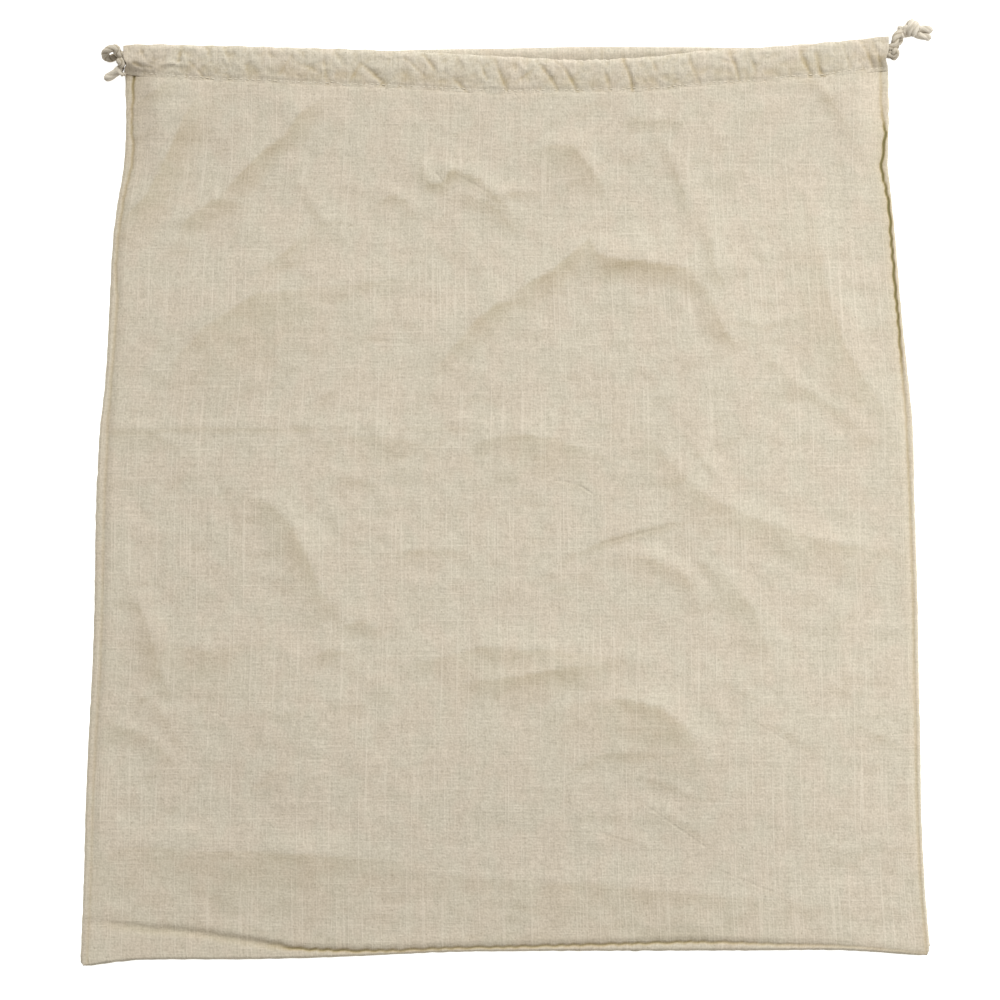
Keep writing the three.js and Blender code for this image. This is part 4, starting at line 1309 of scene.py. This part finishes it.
class BAG_OT_seams(bpy.types.Operator):
    """Adds the rolled seams along both sides and the bottom"""

    bl_idname = "bag.seams"
    bl_label = "Seams"

    def execute(self, context):
        material = cloth_material("Rolled seam", tuple(context.scene.bag_cloth.seam_colour))
        wave = crumple(51, 0.006, 0.02)
        for side, edge, sign in (("left", LEFT_EDGE, 1), ("right", RIGHT_EDGE, -1)):
            ys = np.append(np.arange(edge[0][0], edge[0][-1], SEAM_STEP), edge[0][-1])
            left, right = outline(np.full_like(ys, -sign * 1.0), ys)
            xs = (left if sign > 0 else right) + SEAM_WANDER * wave(ys * 0, ys)
            seam = seam_object(f"{side}_rolled_seam", list(zip(xs, ys)), (sign, 0.0))
            finish_piece(seam, material, "seam", f"{side}_seam")
        xs = np.arange(BOTTOM_EDGE[0][0] + 0.0004, BOTTOM_EDGE[0][-1] - 0.0004, SEAM_STEP)
        ys = at(BOTTOM_EDGE, xs) + SEAM_WANDER * wave(xs, xs * 0)
        corner = np.minimum(xs - xs[0], xs[-1] - xs)
        ys = ys + CORNER * 0.4 * (1 - np.sqrt(1 - np.clip(1 - corner / CORNER, 0, 1) ** 2))
        seam = seam_object("bottom_rolled_seam", list(zip(xs, ys)), (0.0, 1.0))
        finish_piece(seam, material, "seam", "bottom_seam")
        return {"FINISHED"}


# The casings


# The mesh cells of a casing: along it, over its upper side and over its underside
CASING_CELLS = {"front": (520, 32, 12), "back": (300, 16, 8)}
# How high a casing stands over the cords' centres, and over what length its ends are pinched
CASING_CROWN = 0.0028
NECK = 0.006
GATHER_LENGTH = 0.0072
GATHER_HEIGHT = 0.00020
# How far down and up the gathers may reach, and how much of their charted rise the casing has
GATHER_LIMITS = (-0.0011, 0.0012)
CASING_FOLD_RISE = 1.3
# The dent along the stitches, how far in from the stitch line they lie, and how far the hem's edge turns
# down where it laps over the cloth
STITCH_DENT = 0.0004
STITCHES_IN = 0.0008
LAP_DROP = 0.00036
# How far each casing's edge stands off the frame's, where along the mouth most, and how widely
MOUTH_SHIFT = {"front": -0.0013, "back": 0.0011}
MOUTH_MIDDLE = 0.056
MOUTH_SPREAD = 0.075
# The painted shade on the lower part of a casing, which slopes away from the light, and in its valleys
CASING_SHADE = 0.22
VALLEY_SHADE = 0.40


def mouth_shift(side, x):
    """How far the mouth's edge stands off the frame's: the back shows past the front in the middle."""
    return MOUTH_SHIFT[side] * np.exp(-(((x - MOUTH_MIDDLE) / MOUTH_SPREAD) ** 2))


def casing_height(side, x, share):
    """The height of a casing's upper side, from its stitches (0) to its folded edge (1)."""
    if side == "front":
        y = at(STITCH[side], x)
        left_in = x - at(LEFT_EDGE, y) - GROOVE["left"].inset(y)
        right_in = at(RIGHT_EDGE, y) - x - GROOVE["right"].inset(y)
        lip = lip_height(x, np.minimum(left_in, right_in)) + 0.00012
    else:
        lip = at(LIP[side], x) + CASING_LIFT
    crown = at(TIP[side], x) + CASING_CROWN - end_drop(side, x)
    # A steep side rises at once, and a low one over most of the depth
    steep = np.clip((crown - lip) / 0.0060, 0, 1)
    rise = smooth(share, -0.1, 0.70 - 0.30 * steep)
    height = lip + (crown - lip) * rise
    return at(TIP[side], x) + (height - at(TIP[side], x)) * round_edge(share)


def round_edge(share):
    """1 over most of a casing's depth and down to 0 along its folded edge, as a quarter round."""
    return np.sqrt(np.clip(1 - (np.clip(share - 0.8, 0, 1) / 0.2) ** 2, 0, 1))


def casing_gathers(side, x, y, stitch):
    """How far the gathers lift a casing's upper side, or sink it."""
    wander = crumple(61, 0.008, 0.04)
    if side == "front":
        lift = CASING_FOLD_RISE * fold_relief(CASING_FOLDS, x, y)[0]
        gathers = np.sin(2 * math.pi * (x + 0.35 * (y - stitch)) / GATHER_LENGTH + 5 * wander(x, y))
        lift += GATHER_HEIGHT * gathers * (0.6 + 0.6 * np.tanh(wander(x, y * 0 + 0.05)))
    else:
        lift = 0.00015 * np.sin(2 * math.pi * x / 0.0085 + 4 * wander(x, y * 0))
    return lift + 0.00018 * crumple(71, 0.006, 0.02)(x, y)


def casing_object(side, columns, above, below):
    """A flattened tube of cloth around the cords, gathered, with its wall."""
    xs = (MOUTH_END * np.linspace(-1, 1, columns))[:, None]
    stitch = at(STITCH[side], xs)
    depth = at(TOP[side], xs) + mouth_shift(side, xs) - stitch
    share = ((1 - np.cos(np.linspace(0, math.pi, above))) / 2)[None, :]
    lap = LAP * (1 - smooth(share, 0.0, 0.1))
    x = xs + share * 0
    y = stitch + depth * share - lap
    z = casing_height(side, x, share)
    lift = casing_gathers(side, x, y, stitch)
    z = z + np.clip(lift, *GATHER_LIMITS) * smooth(share, -0.1, 0.2) * (1 - 0.5 * smooth(share, 0.9, 1.0))
    z = z - STITCH_DENT * np.exp(-(((y - stitch - STITCHES_IN) / 0.0011) ** 2))
    z = z - LAP_DROP * (1 - smooth(y - stitch + LAP, 0.0, 0.0017))
    # The underside, from the folded edge back to the stitches
    under = np.linspace(1, 0, below + 2)[None, 1:-1]
    low_lip, low = casing_height(side, xs, 0.0) - 0.0012, at(TIP[side], xs) - 0.003
    low_lip = np.minimum(low_lip, low + 0.0030)
    tip = at(TIP[side], xs)
    low_z = tip - (tip - (low_lip + (low - low_lip) * smooth(under, 0.0, 0.4))) * round_edge(under)
    # Small scallops along the folded edge, where the gathers are closest
    scallop = 0.0003 * np.exp(-(((xs - 0.05) / 0.022) ** 2)) * np.sin(2 * math.pi * xs / 0.0048)
    scallop = scallop if side == "front" else scallop * 0
    y = y + scallop * smooth(share, 0.75, 1.0)
    low_y = stitch + depth * under + scallop * smooth(under, 0.75, 1.0)
    rings = np.concatenate([np.stack([x, y, z], -1), np.stack([xs + under * 0, low_y, low_z], -1)], 1)
    shares = np.concatenate([share, under], 1) + xs * 0
    end = MOUTH_END - np.abs(rings[..., 0])
    pinch = 0.0016 * np.exp(-(((shares - 0.28) / 0.16) ** 2)) * (1 - smooth(end, 0.0, NECK))
    rings[..., 0] -= np.sign(rings[..., 0]) * pinch
    around = np.concatenate([share, 2 - under], 1) * depth
    cut = np.stack([rings[..., 0] / MOUTH_END * HALF_CUT, stitch + around], -1)
    faces = tube_faces(columns, above + below)
    obj = mesh_object(f"{side}_casing_cloth", rings.reshape(-1, 3).tolist(), faces, cut.reshape(-1, 2))
    # Painted shade, in patches, on the casing's lower part and in the valleys of its gathers
    patches = 0.5 + 0.5 * np.tanh(crumple(73, 0.010, 0.05)(rings[..., 0], rings[..., 1]))
    shade = CASING_SHADE * patches * np.exp(-(((shares - 0.26) / 0.2) ** 2))
    shade = shade + VALLEY_SHADE * np.clip(-np.concatenate([lift, low_z * 0], 1) / MM, 0, 1)
    point_values(obj, "Shade", shade)
    recalculate_outside(obj)
    wall = obj.modifiers.new("Wall", "SOLIDIFY")
    wall.thickness = CLOTH_THICKNESS / 2
    wall.offset = -1
    return apply_modifiers(obj)


def apply_modifiers(obj):
    """The object's shape with its modifiers, as a plain mesh."""
    depsgraph = bpy.context.evaluated_depsgraph_get()
    mesh = bpy.data.meshes.new_from_object(obj.evaluated_get(depsgraph))
    obj.modifiers.clear()
    obj.data = mesh
    return obj


class BAG_OT_casings(bpy.types.Operator):
    """Adds the gathered hem of the front and the one of the back, which hold the drawstrings"""

    bl_idname = "bag.casings"
    bl_label = "Casings"

    def execute(self, context):
        settings = context.scene.bag_cloth
        material = cloth_material("Gathered hem cotton", tuple(c * 0.99 for c in settings.colour))
        for side, (columns, above, below) in CASING_CELLS.items():
            casing = casing_object(side, columns, above, below)
            if side == "back":
                settle_on_floor(casing)
            finish_piece(casing, material, "casing", f"{side}_casing")
        return {"FINISHED"}


# The stitches


# How far a stitch may turn to either side, in radians, and how far from the middle the rows reach
STITCH_SWAY = 0.16
STITCHED_TO = MOUTH_END - 0.004


def stitch_tree(material):
    """A Geometry Nodes tree that lays stitches of thread along the edges of a mesh line."""
    tree = bpy.data.node_groups.new("Stitches Along A Line", "GeometryNodeTree")
    face = tree.interface
    face.new_socket("Geometry", in_out="INPUT", socket_type="NodeSocketGeometry")
    for name, default in (("Spacing", 0.0034), ("Length", 0.0026), ("Thread", 0.0005)):
        face.new_socket(name, in_out="INPUT", socket_type="NodeSocketFloat").default_value = default
    face.new_socket("Geometry", in_out="OUTPUT", socket_type="NodeSocketGeometry")

    def node(kind, **settings):
        made = tree.nodes.new(kind)
        made.location = (180 * len(tree.nodes), 0)
        for name, value in settings.items():
            setattr(made, name, value)
        return made

    given = node("NodeGroupInput")
    curve = node("GeometryNodeMeshToCurve")
    spaced = node("GeometryNodeResampleCurve", mode="LENGTH")
    tangent = node("GeometryNodeInputTangent")
    turn = node("FunctionNodeAlignRotationToVector", axis="X")
    bead = node("GeometryNodeMeshUVSphere")
    bead.inputs["Segments"].default_value = 8
    bead.inputs["Rings"].default_value = 6
    bead.inputs["Radius"].default_value = 0.5
    size = node("ShaderNodeCombineXYZ")
    place = node("GeometryNodeInstanceOnPoints")
    sway = node("FunctionNodeRandomValue", data_type="FLOAT_VECTOR")
    sway.inputs[0].default_value = (0.0, 0.0, -STITCH_SWAY)
    sway.inputs[1].default_value = (0.0, 0.0, STITCH_SWAY)
    sway.inputs["Seed"].default_value = 7
    swayed = node("FunctionNodeRotateRotation", rotation_space="LOCAL")
    to_rotation = node("FunctionNodeEulerToRotation")
    real = node("GeometryNodeRealizeInstances")
    dyed = node("GeometryNodeSetMaterial")
    dyed.inputs["Material"].default_value = material
    smoothed = node("GeometryNodeSetShadeSmooth")
    result = node("NodeGroupOutput")
    for source, output, target, socket in (
        (given, "Geometry", curve, "Mesh"),
        (curve, "Curve", spaced, "Curve"),
        (given, "Spacing", spaced, "Length"),
        (spaced, "Curve", place, "Points"),
        (tangent, "Tangent", turn, "Vector"),
        (sway, 0, to_rotation, 0),
        (turn, "Rotation", swayed, "Rotation"),
        (to_rotation, 0, swayed, "Rotate By"),
        (swayed, "Rotation", place, "Rotation"),
        (given, "Length", size, "X"),
        (given, "Thread", size, "Y"),
        (given, "Thread", size, "Z"),
        (size, "Vector", place, "Scale"),
        (bead, "Mesh", place, "Instance"),
        (place, "Instances", real, "Geometry"),
        (real, "Geometry", smoothed, "Geometry"),
        (smoothed, "Geometry", dyed, "Geometry"),
        (dyed, "Geometry", result, "Geometry"),
    ):
        tree.links.new(source.outputs[output], target.inputs[socket])
    return tree


def stitched(name, line, tree, values):
    """A row of stitches along a line of points, as a plain mesh."""
    mesh = bpy.data.meshes.new(name)
    mesh.from_pydata([tuple(p) for p in line], [(k, k + 1) for k in range(len(line) - 1)], [])
    row = bpy.data.objects.new(name, mesh)
    bpy.context.scene.collection.objects.link(row)
    modifier = row.modifiers.new("Stitches", "NODES")
    modifier.node_group = tree
    for socket in tree.interface.items_tree:
        if socket.item_type == "SOCKET" and socket.in_out == "INPUT" and socket.name in values:
            modifier[socket.identifier] = values[socket.name]
    return apply_modifiers(row)


class BAG_OT_stitches(bpy.types.Operator):
    """Adds the rows of stitches that close the casings"""

    bl_idname = "bag.stitches"
    bl_label = "Stitches"

    def execute(self, context):
        settings = context.scene.bag_cord
        thread = thread_material("Cream thread", (0.66, 0.60, 0.49))
        tree = stitch_tree(thread)
        values = {"Spacing": settings.stitch_gap, "Length": settings.stitch_length, "Thread": settings.thread}
        xs = np.linspace(-STITCHED_TO, STITCHED_TO, 240)
        wander = crumple(81, 0.01, 0.05)
        ys = at(STITCH["front"], xs) + STITCHES_IN + 0.0003 * wander(xs, xs * 0)
        zs = casing_height("front", xs, 0.045) - 0.00035
        row = stitched("front_hem_stitches", np.stack([xs, ys, zs], -1), tree, values)
        finish_piece(row, thread, "cord")
        ys = at(STITCH["back"], xs) + 0.0012
        row = stitched("back_hem_stitches", np.stack([xs, ys, xs * 0 + 0.00026], -1), tree, values)
        finish_piece(row, thread, "cord")
        return {"FINISHED"}


# The panel and its registration


class BAG_PT_panel(bpy.types.Panel):
    """Lists the bag's pieces and their sizes"""

    bl_idname = "BAG_PT_panel"
    bl_label = "Drawstring bag"
    bl_space_type = "VIEW_3D"
    bl_region_type = "UI"
    bl_category = "Bag"

    def draw(self, context):
        for operator in OPERATORS:
            self.layout.operator(operator.bl_idname)
        for group in (context.scene.bag_cloth, context.scene.bag_cord, context.scene.bag_stage):
            box = self.layout.box()
            for name in group.bl_rna.properties.keys():
                if name not in ("rna_type", "name"):
                    box.prop(group, name)


OPERATORS = (
    BAG_OT_stage,
    BAG_OT_drawstrings,
    BAG_OT_panels,
    BAG_OT_seams,
    BAG_OT_casings,
    BAG_OT_stitches,
)
SETTINGS = {"bag_cloth": BagClothSettings, "bag_cord": BagCordSettings, "bag_stage": BagStageSettings}
CLASSES = tuple(SETTINGS.values()) + OPERATORS + (BAG_PT_panel,)


def register():
    for made in CLASSES:
        bpy.utils.register_class(made)
    for name, group in SETTINGS.items():
        setattr(bpy.types.Scene, name, bpy.props.PointerProperty(type=group))


def unregister():
    for name in SETTINGS:
        delattr(bpy.types.Scene, name)
    for made in reversed(CLASSES):
        bpy.utils.unregister_class(made)


def main():
    register()
    bpy.ops.bag.stage()
    bpy.ops.bag.drawstrings()
    bpy.ops.bag.panels()
    bpy.ops.bag.seams()
    bpy.ops.bag.casings()
    bpy.ops.bag.stitches()


if __name__ == "__main__":
    main()
